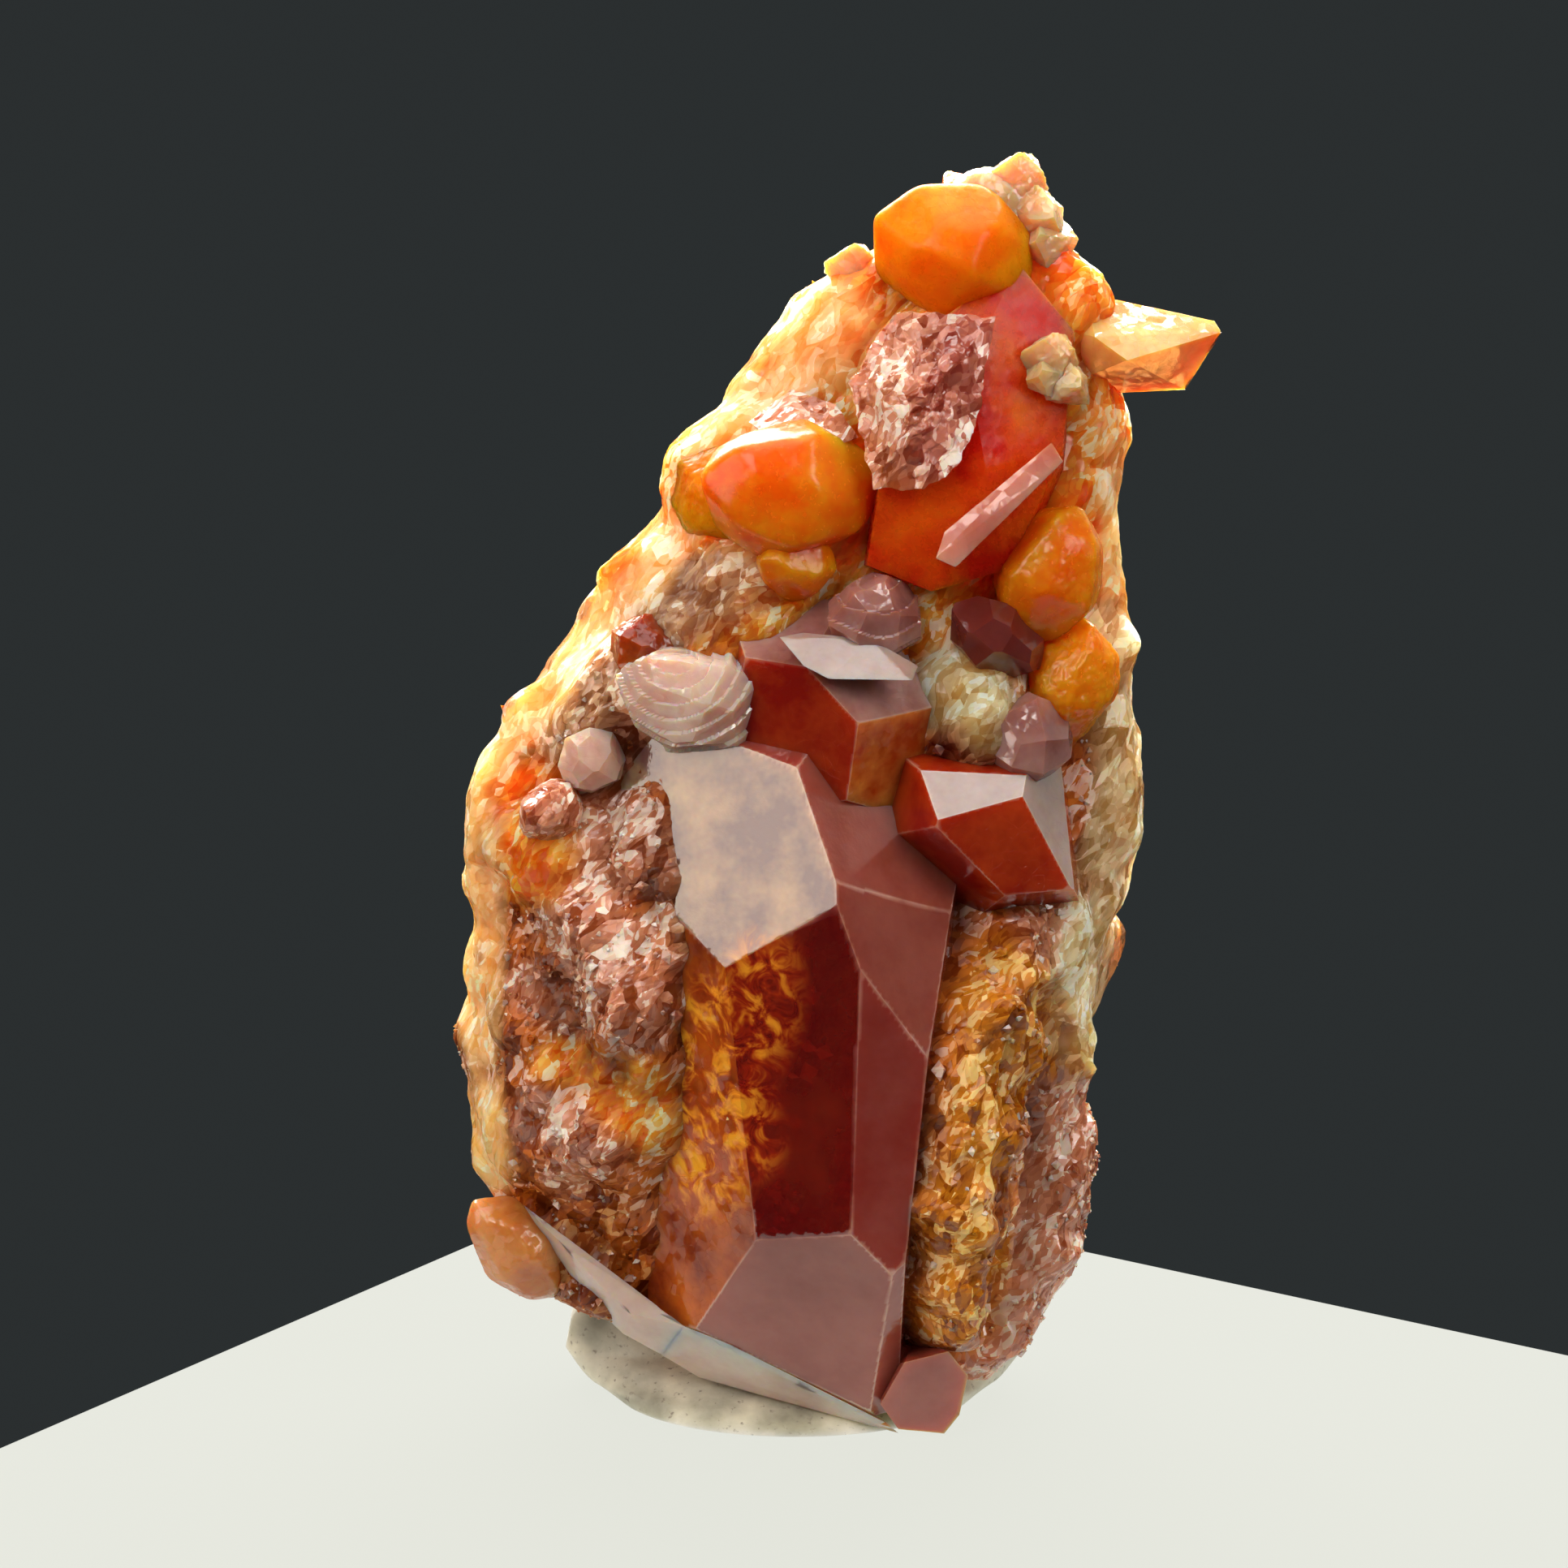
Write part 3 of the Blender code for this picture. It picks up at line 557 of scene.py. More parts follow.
# %% Crystals with a shape of their own
SEEN_HULLS = {
    "trunk": (0.012, ( (5.37, 11.85, 1.3), (6.63, 10.31, 1.3), (6.35, 7.6, 2.1), (5.1, 4.9, 2.8),
        (3.37, 4.4, 3.1), (1.9, 5.0, 2.9), (2.2, 6.9, 3.0), (3.3, 10.4, 2.1), (4.2, 9.6, 2.7),
        (4.6, 7.2, 3.1), (5.6, 11.0, -1.0), (1.6, 5.0, 0.0), (6.4, 6.4, 0.0))),
    "etched_patch": (0.14, ( (2.54, 10.78, 2.2), (4.75, 10.59, 2.3), (4.44, 8.41, 3.2), (3.93, 7.28, 3.5),
        (3.2, 6.76, 3.6), (2.07, 6.81, 3.4), (1.48, 9.13, 2.6), (1.74, 9.54, 2.4), (3.2, 8.8, 3.5),
        (3.0, 8.5, 0.5))),
    "left_wedge": (0.06, ( (-0.8, 8.26, 1.6), (1.17, 8.63, 1.9), (1.69, 7.91, 2.3), (0.37, 7.54, 3.3),
        (0.17, 9.0, 1.2), (0.3, 7.4, 1.0))),
    "wing": (0.015, ( (6.9, 11.19, 0.2), (8.48, 10.85, -0.1), (9.81, 10.56, 0.5), (9.98, 10.31, 0.8),
        (7.83, 9.67, 1.9), (7.1, 10.2, 1.5), (9.48, 9.54, 0.5), (9.15, 9.0, 0.2), (8.61, 9.13, 0.5),
        (7.7, 8.93, 0.2), (6.19, 9.0, 0.0), (6.0, 10.5, 0.0))),
    "bar": (0.012, ( (6.1, 7.78, 3.3), (6.36, 7.36, 3.5), (3.92, 4.95, 4.2), (3.47, 5.15, 4.2),
        (3.67, 5.75, 3.9), (6.1, 7.5, 2.4), (3.6, 5.1, 2.9))),
    "plate": (0.01, ( (-0.1, 3.35, 4.1), (0.44, 3.45, 3.9), (1.98, 3.3, 3.9), (3.05, 2.7, 4.0),
        (2.93, 2.37, 4.5), (1.02, 2.4, 4.9), (0.45, 2.7, 4.7), (1.6, 2.6, 3.2))),
    "bevel_strip": (0.004, ( (-5.94, -9.61, 1.9), (-5.17, -10.39, 2.2), (-4.2, -11.44, 2.45),
        (-3.5, -12.09, 2.65), (-2.28, -12.37, 3.0), (-5.33, -10.6, 1.5), (-4.46, -11.8, 1.7),
        (-3.67, -12.54, 2.0), (-2.8, -13.02, 2.1), (-4.5, -11.0, 0.8), (-2.8, -12.3, 1.0))),
    "bevel_tail": (0.004, ( (-2.28, -12.37, 3.03), (-1.22, -12.8, 3.14), (0.7, -13.89, 3.13),
        (2.35, -14.59, 3.24), (2.61, -14.81, 3.2), (-2.8, -13.02, 2.05), (-1.93, -13.54, 1.9),
        (0.61, -14.28, 2.4), (-2.0, -12.4, 0.5), (2.0, -14.3, 1.5))),
    "corner_block": (0.008, ( (2.2, -14.15, 3.55), (2.75, -13.2, 4.22), (3.75, -12.95, 4.2),
        (4.2, -13.5, 3.85), (4.0, -14.4, 3.45), (3.65, -14.82, 3.3), (2.61, -14.72, 3.35),
        (3.0, -12.6, 2.0), (2.2, -13.4, 1.6))),
}
broken = {}
for number, (name, (depth, places)) in enumerate(SEEN_HULLS.items()):
    corners = sight(places)
    normals, distances = hull_planes(corners)
    broken[name] = crystal_piece(name, normals, distances, [depth] * len(normals), 110, 220,
                                 heart=corners.mean(0), grain=0.45, seed=60 + number,
                                 zones=SILVERED.get(name))

# %% [markdown]
# Between and behind the crystals lies the mass they grew from: etched, lumpy and crusty.
# It is one tall surface whose distance from an upright middle line depends on height and
# on the angle round. Rows of reach, left, right, front and back at fifteen heights, give
# its plain outline.

# %% The outline of the mass
MASS_ROWS = np.array([
    (0.9, -3.8, 3.2, 1.4, 2.4), (1.9, -5.4, 4.3, 1.8, 3.0), (3.4, -6.9, 5.0, 2.4, 3.6),
    (5.2, -7.9, 5.4, 2.8, 4.0), (8.5, -8.4, 5.4, 3.0, 4.2), (11.5, -8.2, 5.7, 3.0, 4.2),
    (13.8, -8.4, 6.5, 3.0, 4.0), (15.8, -7.3, 6.5, 2.9, 3.8), (17.6, -6.0, 6.2, 2.8, 3.5),
    (19.6, -4.6, 5.8, 2.4, 3.2), (21.5, -3.7, 5.9, 2.1, 2.9), (23.4, -2.4, 5.9, 1.9, 2.6),
    (25.2, -1.1, 5.3, 1.5, 2.2), (26.8, 0.4, 4.7, 1.1, 1.8), (28.1, 2.8, 4.1, 0.4, 0.6)])
MASS_SQUARENESS = 2.3


def reaches(rows, heights):
    """Reach to the left, right, front and back at some heights, on straight lines between the rows."""
    return [np.interp(heights, rows[:, 0], rows[:, side]) for side in (1, 2, 3, 4)]


def level_grid(low, high, rows, columns):
    """Levels from low to high and angles all round, as two grids of rows and columns."""
    angles = 2.0 * math.pi * np.arange(columns) / columns
    return np.meshgrid(np.linspace(low, high, rows), angles, indexing="ij")


def mass_ring(heights, angles):
    """Middle and reach of the mass: a slightly square oval whose four sides follow the rows."""
    left, right, front, back = reaches(MASS_ROWS, heights)
    across, along = np.cos(angles), np.sin(angles)
    powers = np.abs(across) ** MASS_SQUARENESS + np.abs(along) ** MASS_SQUARENESS
    square = powers ** (-1.0 / MASS_SQUARENESS)
    middle = np.stack([(left + right) / 2 + SHIFT[0], np.full_like(left, SHIFT[1]), heights], -1)
    depth = np.where(along > 0, back, front)
    offset = np.stack([square * across * (right - left) / 2, square * along * depth,
                       np.zeros_like(left)], -1)
    return middle, offset


MASS_GRID = (250, 380)
MASS_BOTTOM, MASS_TOP = MASS_ROWS[0, 0], MASS_ROWS[-1, 0]
heights, angles = level_grid(MASS_BOTTOM, MASS_TOP, *MASS_GRID)
middle, offset = mass_ring(heights, angles)
reach = np.linalg.norm(offset, axis=-1)
ways = offset / reach[..., None]
print("the plain mass reaches", reach.min().round(2), "to", reach.max().round(2), "mm")

# %% [markdown]
# The lumps of the good side are seen places with a size, grouped by the part of the
# specimen that they stand on. Lumps of the back follow a golden turn up the mass.

# %% Places of the lumps
SEEN_LUMPS = {
    "right_shoulder": ((6.5, 11.5, 0.3, 0.75), (6.85, 10.9, 0.4, 0.65), (6.35, 10.5, 0.7, 0.7)),
    "knob": ((1.5, 11.2, 0.0, 0.6),),
    "left_knobs": ((-1.75, 7.4, 0.8, 0.8), (-1.95, 6.65, 0.8, 0.75), (-1.35, 5.9, 1.1, 0.75),
        (-0.9, 7.95, 0.8, 0.7)),
    "tan": ((-1.13, 4.2, 1.9, 1.05), (-2.33, 3.7, 1.5, 1.1), (-1.59, 3.1, 2.2, 1.05),
        (-0.67, 4.85, 1.8, 0.85), (-2.5, 4.7, 0.9, 0.95), (-3.5, 2.3, 1.5, 1.0), (-4.1, 1.5, 1.5, 1.0),
        (-0.4, 3.6, 2.8, 0.75)),
    "left_border": ((1.15, 10.5, 0.0, 0.85), (0.3, 9.65, 0.0, 0.85), (-0.4, 8.65, 0.0, 0.9),
        (-2.2, 5.4, 0.0, 1.0), (-2.75, 4.6, 0.0, 0.95), (-3.55, 3.45, 0.0, 1.0), (-4.4, 2.35, 0.0, 1.05),
        (-5.35, 1.25, 0.0, 1.1), (-6.05, 0.15, 0.3, 1.1)),
    "left_rind": ((-6.1, -1.0, 0.6, 1.0), (-6.05, -2.4, 0.4, 1.0), (-6.15, -4.0, 0.0, 1.0),
        (-6.2, -5.6, -0.2, 1.0), (-6.05, -7.2, 0.0, 1.0), (-5.9, -8.6, 0.3, 0.95)),
    "matrix": ((4.24, 2.35, 2.9, 0.7), (4.71, 1.5, 3.0, 0.7), (4.15, 1.05, 3.4, 0.6), (3.75, 2.0, 3.1, 0.6),
        (3.9, 3.0, 2.6, 0.5), (4.8, 2.7, 2.5, 0.55), (5.1, 1.9, 2.6, 0.5), (4.5, 0.6, 3.3, 0.5)),
    "right_rim": ((6.8, 3.0, 0.4, 1.0), (6.8, 1.7, 0.5, 1.05), (6.85, 0.4, 0.4, 1.1), (6.9, -0.8, 0.3, 1.1),
        (6.65, -2.0, 0.3, 1.05), (6.35, -2.95, 0.5, 0.95)),
    "right_edge": ((6.95, 8.2, 0.2, 0.9), (6.65, 7.2, 0.4, 0.9), (6.35, 8.9, 0.8, 0.8),
        (6.45, 6.4, 0.8, 0.8), (6.8, 5.5, 0.4, 0.8), (6.85, 4.4, 0.4, 0.8)),
    "ochre": ((4.8, -4.75, 3.7, 1.05), (4.9, -6.0, 3.5, 1.05), (3.8, -6.6, 4.6, 1.05),
        (4.5, -7.8, 4.1, 1.1), (3.65, -8.5, 4.6, 1.1), (3.75, -10.07, 4.6, 1.15), (3.7, -11.37, 4.3, 1.05),
        (3.8, -12.28, 3.7, 0.95), (4.4, -9.3, 4.1, 1.0), (4.3, -5.4, 4.3, 0.9), (3.55, -7.5, 4.7, 0.9),
        (3.6, -9.3, 4.7, 0.9)),
    "right_flank": ((5.8, -4.6, 1.5, 1.1), (5.6, -5.9, 1.4, 1.15), (5.55, -7.3, 1.5, 1.15),
        (5.85, -8.6, 1.3, 1.2), (5.85, -9.9, 1.3, 1.1), (5.3, -11.1, 1.5, 1.05), (4.7, -12.1, 1.6, 0.95),
        (4.25, -13.0, 2.0, 0.75)),
    "right_middle": ((5.95, -2.85, 1.9, 0.95), (5.9, -3.8, 2.3, 0.95), (5.2, -3.3, 3.0, 0.8)),
    "etched": ((-5.0, -1.5, 1.8, 1.3), (-4.2, -3.2, 2.4, 1.35), (-3.1, -2.0, 2.3, 1.2),
        (-4.9, -4.9, 1.5, 1.45), (-3.5, -4.6, 3.0, 1.3), (-4.6, -6.6, 1.8, 1.45), (-3.2, -6.3, 3.2, 1.2),
        (-5.2, -8.0, 1.1, 1.4), (-3.9, -8.0, 2.3, 1.3), (-2.95, -0.9, 2.7, 0.85), (-2.75, -1.8, 3.0, 0.85),
        (-2.45, -2.7, 3.3, 0.8), (-2.05, -3.5, 3.6, 0.7), (-2.6, -4.6, 3.2, 0.85), (-2.7, -6.0, 3.1, 0.85),
        (-2.8, -7.6, 2.8, 0.95)),
    "left_foot": ((-4.7, -11.2, 1.0, 0.9), (-5.4, -10.2, 0.9, 1.0), (-4.0, -11.7, 1.6, 0.8)),
}
HIDDEN_LUMPS = 46
GOLDEN_TURN = 137.5
mass_lumps = [(sight(lump[:3]), lump[3]) for lumps in SEEN_LUMPS.values() for lump in lumps]
for number in range(HIDDEN_LUMPS):
    share = (number + 0.5) / HIDDEN_LUMPS
    height = 1.5 + 25.8 * (0.5 * share + 0.5 * share ** 2)
    core, out = mass_ring(np.array([height]), np.radians(np.array([GOLDEN_TURN * number])))
    if out[0, 1] < 0.0:
        continue
    size = 0.8 + 0.7 * float(hashed(np.array([[number, 3.0, 5.0]]), 2)[0])
    mass_lumps.append(((core + out - 0.7 * size * out / np.linalg.norm(out))[0], size))
print(len(mass_lumps), "lumps")

# %% [markdown]
# A lump is an uneven form with eighteen flat sides. Wherever a ray from the middle line
# leaves one, the mass reaches out that far, and a soft maximum rounds the seam. A few
# passes of smoothing then take the ledges off, because a ray can't follow an overhang.

# %% Lumps pushed out of the mass


def lump_planes(place, size, seed, count=18):
    """Flat sides of an uneven lump: directions on a golden spiral, jittered, nearly a size away."""
    number = np.arange(count)
    height = 1.0 - 2.0 * (number + 0.5) / count
    angle = 2.4 * number + 2.0 * hashed(np.stack([number, number, number], -1) * 1.0, seed)
    ring = np.sqrt(1.0 - height ** 2)
    normals = np.stack([ring * np.cos(angle), ring * np.sin(angle), height], -1)
    push = 0.8 + 0.25 * hashed(np.stack([number, number + 5, number], -1) * 1.0, seed + 1)
    return normals, size * push + normals @ place


def ray_exit(origins, ways, normals, distances):
    """Where rays leave a convex form, or minus one where they miss it."""
    slope = ways @ normals.T
    room = distances - origins @ normals.T
    leave = np.where(slope > 1e-6, room / np.where(slope > 1e-6, slope, 1.0), 1e6).min(-1)
    enter = np.where(slope < -1e-6, room / np.where(slope < -1e-6, slope, -1.0), -1e6).max(-1)
    return np.where(leave > np.maximum(enter, 0.0), leave, -1.0)


LUMP_BLEND = 0.4
MISSED_SHORT = 9.0
SMOOTHING_PASSES = 9
for number, (place, size) in enumerate(mass_lumps):
    near = np.abs(heights[:, 0] - place[2]) < 1.3 * size
    normals, distances = lump_planes(place, size, number)
    found = ray_exit(middle[near], ways[near], normals, distances)
    out = np.where(found > 0.0, found, reach[near] - MISSED_SHORT)
    reach[near] = np.logaddexp(reach[near] / LUMP_BLEND, out / LUMP_BLEND) * LUMP_BLEND
for _ in range(SMOOTHING_PASSES):
    reach = 0.5 * reach + 0.25 * (np.roll(reach, 1, 1) + np.roll(reach, -1, 1))
    reach[1:-1] = 0.5 * reach[1:-1] + 0.25 * (reach[2:] + reach[:-2])
print("with its lumps the mass reaches", reach.min().round(2), "to", reach.max().round(2), "mm")

# %% [markdown]
# The crust isn't one thing: silvery etched garnet at the left, ochre fibrous crust at
# the right, tan grit higher up, pale translucent rims at both edges, partly painted glow.
# Each zone is a soft band along paths that the eye sees, broken up by noise, and it
# becomes an attribute for the material. The glow zone is painted glow. Two zones follow
# the form: the painted glow near the summit, and the heart, which lies inside the great
# crystal and is painted orange as glow seen through it.

# %% Zones of the crust
ZONE_PATHS = {
    "silver": ((0.75, (-4.2, 0.6), (-3.2, 0.9)), (0.85, (-4.3, -0.6), (-3.3, -1.6), (-4.7, -2.8),
        (-3.4, -3.6), (-4.6, -4.6)), (0.7, (-2.6, -4.2), (-3.6, -5.4)), (0.5, (-5.8, -4.6), (-5.0, -5.4)),
        (0.55, (-5.6, -7.6), (-4.2, -8.1), (-5.0, -9.0)), (0.7, (6.2, -2.4), (6.0, -3.7)), (0.9,
        (6.7, -7.4), (6.2, -9.1), (6.0, -10.6), (5.5, -12.0), (5.0, -13.5))),
    "glow": ((0.8, (-5.9, -0.1), (-5.7, -1.8)), (0.5, (-5.8, 1.3), (-5.2, 2.0)), (0.7, (-3.6, -7.1),
        (-2.9, -7.7)), (0.45, (-5.3, -6.3), (-4.7, -6.5)), (0.8, (6.4, 2.6), (6.7, 5.5), (7.0, 7.5))),
    "tan": ((0.75, (-4.9, 1.2), (-4.3, 2.5), (-3.1, 3.9), (-1.0, 4.7)), (0.7, (-3.2, 3.0), (-3.0, 4.4)),
        (0.45, (-1.9, -1.9), (-2.2, -3.4))),
    "ochre": ((0.85, (5.0, -4.4), (4.9, -6.0), (4.6, -7.5), (4.3, -9.0), (4.1, -10.4), (4.0, -11.9)), (0.7,
        (5.6, -4.6), (6.3, -6.0))),
    "pale": ((0.75, (3.7, 2.0), (4.2, 2.5), (4.8, 1.3)), (0.7, (7.6, 3.6), (7.85, 1.4), (7.9, -0.4),
        (7.5, -2.2), (6.9, -4.3), (6.9, -5.8))),
    # the rind runs along both rims; its pale colour is partly painted glow
    "rind_and_painted_glow": ((0.42, (-6.6, -8.8), (-6.9, -7.1), (-7.0, -5.6), (-6.9, -3.6), (-7.0, -1.5), (-7.2, 0.0),
        (-6.4, 0.9), (-5.6, 1.9), (-4.0, 3.8)), (0.5, (-4.0, 3.8), (-2.5, 5.9), (-1.9, 7.2)), (0.9,
        (-1.2, 8.2), (0.0, 9.6), (0.8, 10.5)), (0.35, (7.8, 7.6), (7.5, 4.7))),
    "amber": ((1.2, (-4.6, -10.4), (-3.2, -10.7), (-2.2, -11.6)), (0.8, (-5.0, -11.2), (-4.0, -11.9))),
}
surface = middle + ways * reach[..., None]
broken_up = soft_noise(surface, 0.9, 31) + 0.5 * soft_noise(surface, 0.4, 32)
before = np.clip(1.0 - surface[..., 1], 0.0, 1.0)
zones = {name: np.clip(band(surface, paths) * (1.2 + 0.9 * broken_up), 0.0, 1.0) * before
         for name, paths in ZONE_PATHS.items()}
ochre, rind_and_painted_glow = zones["ochre"], zones["rind_and_painted_glow"]
# painted glow: everything above about 17.5 mm joins the glow zone, bright as if backlit
zones["glow"] = np.maximum(zones["glow"], np.clip((heights - 17.5 + 0.6 * broken_up) / 2.5, 0.0, 1.0))
# painted glow: the mass inside the great crystal is marked to be painted bright orange, as glow seen through
# it
zones["heart"] = ((surface @ great_normals.T - great_distances).max(-1) < -0.25) * 1.0
print({name: round(float(values.mean()), 3) for name, values in zones.items()})

# %% [markdown]
# Three sizes of noise roughen the mass. The crystal ends are drawn out along a slope, as
# the etched steps of a real one are, the ochre crust gets upright fibres instead, and the
# thin rims and the ends of the grid stay smoother.

# %% Roughness of the mass
flat = surface.reshape(-1, 3)
slant = np.array([-0.6, 0.0, -0.8])
slanted = flat - 0.6 * (flat @ slant)[:, None] * slant
upright = flat * np.array([1.0, 1.0, 0.3])
roughness = 0.26 * soft_noise(flat, 1.9, 5) + 0.26 * facet_noise(slanted, 0.8, 7)
roughness = roughness + 0.24 * facet_noise(slanted, 0.4, 9) + 0.12 * facet_noise(flat, 0.2, 11) - 0.45
fibres = 0.55 * facet_noise(upright, 0.6, 13) + 0.3 * facet_noise(upright, 0.3, 15) - 0.3
near_ends = np.clip(np.minimum(heights - MASS_BOTTOM, MASS_TOP - heights) / 1.2, 0.15, 1.0)
edges = np.clip(1.6 * np.abs(np.cos(angles)) - 0.6, 0.0, 1.0)
calm = (1.0 - 0.6 * ochre) * (1.0 - 0.5 * edges) * (1.0 - 0.5 * rind_and_painted_glow - 0.4 * zones["pale"])
relief = (roughness.reshape(reach.shape) * calm + fibres.reshape(reach.shape) * ochre) * near_ends
surface = surface + ways * relief[..., None]
END_BULGE = 0.15
mass_ends = np.array([[*middle[0, 0, :2], MASS_BOTTOM - END_BULGE],
                      [*middle[-1, 0, :2], MASS_TOP + END_BULGE]])
marks = {name: closed_mark(values) for name, values in (*zones.items(), ("relief", relief))}
mass = make_piece("rough_mass", closed(mass_ends, surface), grid_triangles(*MASS_GRID), marks, sharp=22.0)

# %% [markdown]
# At the summit and along the upper edges small lumps stand clear of the mass, too far
# out for its rays. They are small crystals of their own with flat sides.

# %% Small lumps that stand clear
CLEAR_LUMPS = {
    "summit": ((5.42, 13.7, 0.0, 0.55), (5.72, 13.0, 0.2, 0.55), (5.95, 12.35, 0.3, 0.55),
        (5.1, 12.9, -0.4, 0.8), (4.3, 13.0, -0.9, 0.8)),
    "pale_cluster": ((6.19, 9.7, 2.0, 0.48), (6.41, 9.15, 2.0, 0.45), (5.98, 9.3, 2.1, 0.42)),
    "knob": ((1.67, 11.78, 0.1, 0.45),),
}
clear_lumps = {}
for name, lumps in CLEAR_LUMPS.items():
    for number, lump in enumerate(lumps):
        place = sight(lump[:3])
        normals, distances = lump_planes(place, lump[3] * 1.08, 80 + number)
        called = f"{name}_{number}"
        clear_lumps[called] = crystal_piece(called, normals, distances, [0.05] * len(normals), 48, 96,
                                            heart=place, grain=0.25, seed=90 + number)

# %% [markdown]
# Thousands of crystal grains too small to name cover the etched zones, and they make the
# sparkle. Each is an eight-sided crystal, so that all of them together stay light. One
# helper makes any number of them at once.

# %% Eight-sided grains
OCTAHEDRON = np.array([(0, 1, 2), (1, 3, 2), (3, 4, 2), (4, 0, 2),
                       (1, 0, 5), (3, 1, 5), (4, 3, 5), (0, 4, 5)])


def octahedra(chance, seats, sizes, least, more):
    """Points and triangles of eight-sided crystals: a seat plus and minus three crossed axes of its size.
    Each axis is as long as least plus a chance share of more; a left-handed trio turns its triangles."""
    count = len(seats)
    axes = np.linalg.qr(chance.normal(size=(count, 3, 3)))[0]
    axes = axes * (least + more * chance.random((count, 3)))[..., None]
    tips_and_painted_glints = np.concatenate([axes, -axes], axis=1)
    points = (seats[:, None] + sizes[:, None, None] * tips_and_painted_glints).reshape(-1, 3)
    triangles = OCTAHEDRON[None] + 6 * np.arange(count)[:, None, None]
    handed = np.linalg.det(axes) < 0
    triangles[handed] = triangles[handed][..., ::-1]
    return points, triangles.reshape(-1, 3)


print("a grain has", len(OCTAHEDRON), "faces")

# %% [markdown]
# The grains sit on points of the mass picked by a fixed seed, none on the smooth rims,
# the pale zones, the zones of painted glow or inside the great crystal. They carry the
# zones of their seats, so that they take the crust's colours.

# %% Sparkling grains
GRAINS = 4200
chance = np.random.default_rng(12)
bare = (rind_and_painted_glow + zones["heart"] + zones["pale"] + zones["glow"] * before).ravel() > 0.3
picked = chance.choice(np.flatnonzero(~bare), GRAINS, replace=False)
seats = surface.reshape(-1, 3)[picked]
sizes = (0.06 + 0.14 * chance.random(GRAINS) ** 2.5) * (1.0 - 0.5 * edges.ravel()[picked])
points, triangles = octahedra(chance, seats, sizes, 0.7, 0.6)
tint = np.repeat(chance.random(GRAINS), 6)
grain_zones = {name: np.repeat(values.ravel()[picked], 6) for name, values in zones.items()}
grain_marks = {"tint": tint, "relief": np.full(len(points), 0.2), **grain_zones}
grains = make_piece("grains", points, triangles, grain_marks, sharp=5.0)

# %% [markdown]
# Inside the great crystal, close behind its front face, hang crumbs of healed cracks that
# catch the light and glow orange in the dark red. They are the same kind of grains, strewn
# in small clouds a little way in from the face. A crumb that would stick out is left out.

# %% Glowing crumbs inside the great crystal
CRUMB_CLOUDS = ((-0.75, -5.3, 0.55, 0.75), (-0.55, -6.4, 0.45, 0.6), (-1.1, -7.6, 0.45, 0.9),
                (-0.95, -9.0, 0.6, 0.7), (-0.1, -4.3, 0.4, 0.35))
CRUMBS_PER_CLOUD = 150
chance = np.random.default_rng(21)
seen_at = np.concatenate([chance.normal((right, up), (wide, tall), (CRUMBS_PER_CLOUD, 2))
                          for right, up, wide, tall in CRUMB_CLOUDS])
face_normals, face_distances, _ = seen_planes(GREAT_FACES, [])
front_normal, front_distance = face_normals[0], face_distances[0]
lines = sight(np.concatenate([seen_at, np.full((len(seen_at), 1), 5.0)], -1)) - EYE
along_line = (front_distance - front_normal @ EYE) / (lines @ front_normal)
into = 0.25 + 1.1 * chance.random(len(seen_at)) ** 1.5
seats = EYE + along_line[:, None] * lines - into[:, None] * front_normal
seats = seats[(seats @ face_normals.T < face_distances - 0.2).all(-1)]
sizes = 0.06 + 0.22 * chance.random(len(seats)) ** 2
points, triangles = octahedra(chance, seats, sizes, 0.3, 1.0)
crumb_tint = {"tint": np.repeat(chance.random(len(seats)), 6)}
inclusions = make_piece("inclusions", points, triangles, crumb_tint, sharp=5.0)

# %% [markdown]
# The putty is soft and was pressed by hand: a low, swollen pad with a dull skin. Its reach
# to the left, right, front and back is read from rows at five heights, like the mass. The
# last part of the grid turns inwards over the top, and soft noise makes it uneven. In
# front it is only a skirt, so that the crystal's bevel, painted pale as a reflection, shows.

# %% The putty
PUTTY_ROWS = np.array([(0.0, -5.3, 3.1, 3.3, 3.3), (0.35, -5.9, 3.7, 2.7, 3.8), (1.0, -6.3, 4.2, 1.0, 4.1),
                       (1.7, -6.2, 4.2, 0.6, 4.0), (2.3, -5.8, 3.9, 0.5, 3.7)])
PUTTY_GRID = (60, 220)
PUTTY_TOP = PUTTY_ROWS[-1, 0]
PUTTY_SHOULDER = 0.7
putty_level, putty_angle = level_grid(0.0, 1.0, *PUTTY_GRID)
putty_height = PUTTY_TOP * np.minimum(putty_level / PUTTY_SHOULDER, 1.0)
left, right, front, back = reaches(PUTTY_ROWS, putty_height)
inward = 1.0 - 0.75 * np.clip((putty_level - PUTTY_SHOULDER) / 0.3, 0.0, 1.0) ** 1.5
across, along = np.cos(putty_angle), np.sin(putty_angle)
putty_points = np.stack([(left + right) / 2 + SHIFT[0] + inward * across * (right - left) / 2,
                         SHIFT[1] + inward * along * np.where(along > 0, back, front), putty_height], -1)
flat_putty = putty_points.reshape(-1, 3)
swell = 0.35 * soft_noise(flat_putty * np.array([1, 1, 0.3]), 2.5, 70)
swell = swell + 0.1 * soft_noise(flat_putty, 0.9, 71)
lifted = np.clip(putty_height / 0.5, 0.0, 1.0)
outward = np.stack([across, along, np.zeros_like(across)], -1)
putty_points = putty_points + outward * (swell.reshape(across.shape) * lifted)[..., None]
PUTTY_MIDDLE = -0.91
putty_ends = np.array([[PUTTY_MIDDLE, 0.0, 0.0], [PUTTY_MIDDLE, 0.0, PUTTY_TOP]])
putty = make_piece("putty_pad", closed(putty_ends, putty_points), grid_triangles(*PUTTY_GRID), sharp=60.0)

# %% [markdown]
# Materials are graphs of nodes on Object coordinates, so a pattern stays on the stone
# from every side. A few helpers add a node and fill its sockets, start a material, mix
# colours and carry a value from one span to another, which keeps each graph readable.

# %% Helpers for node graphs


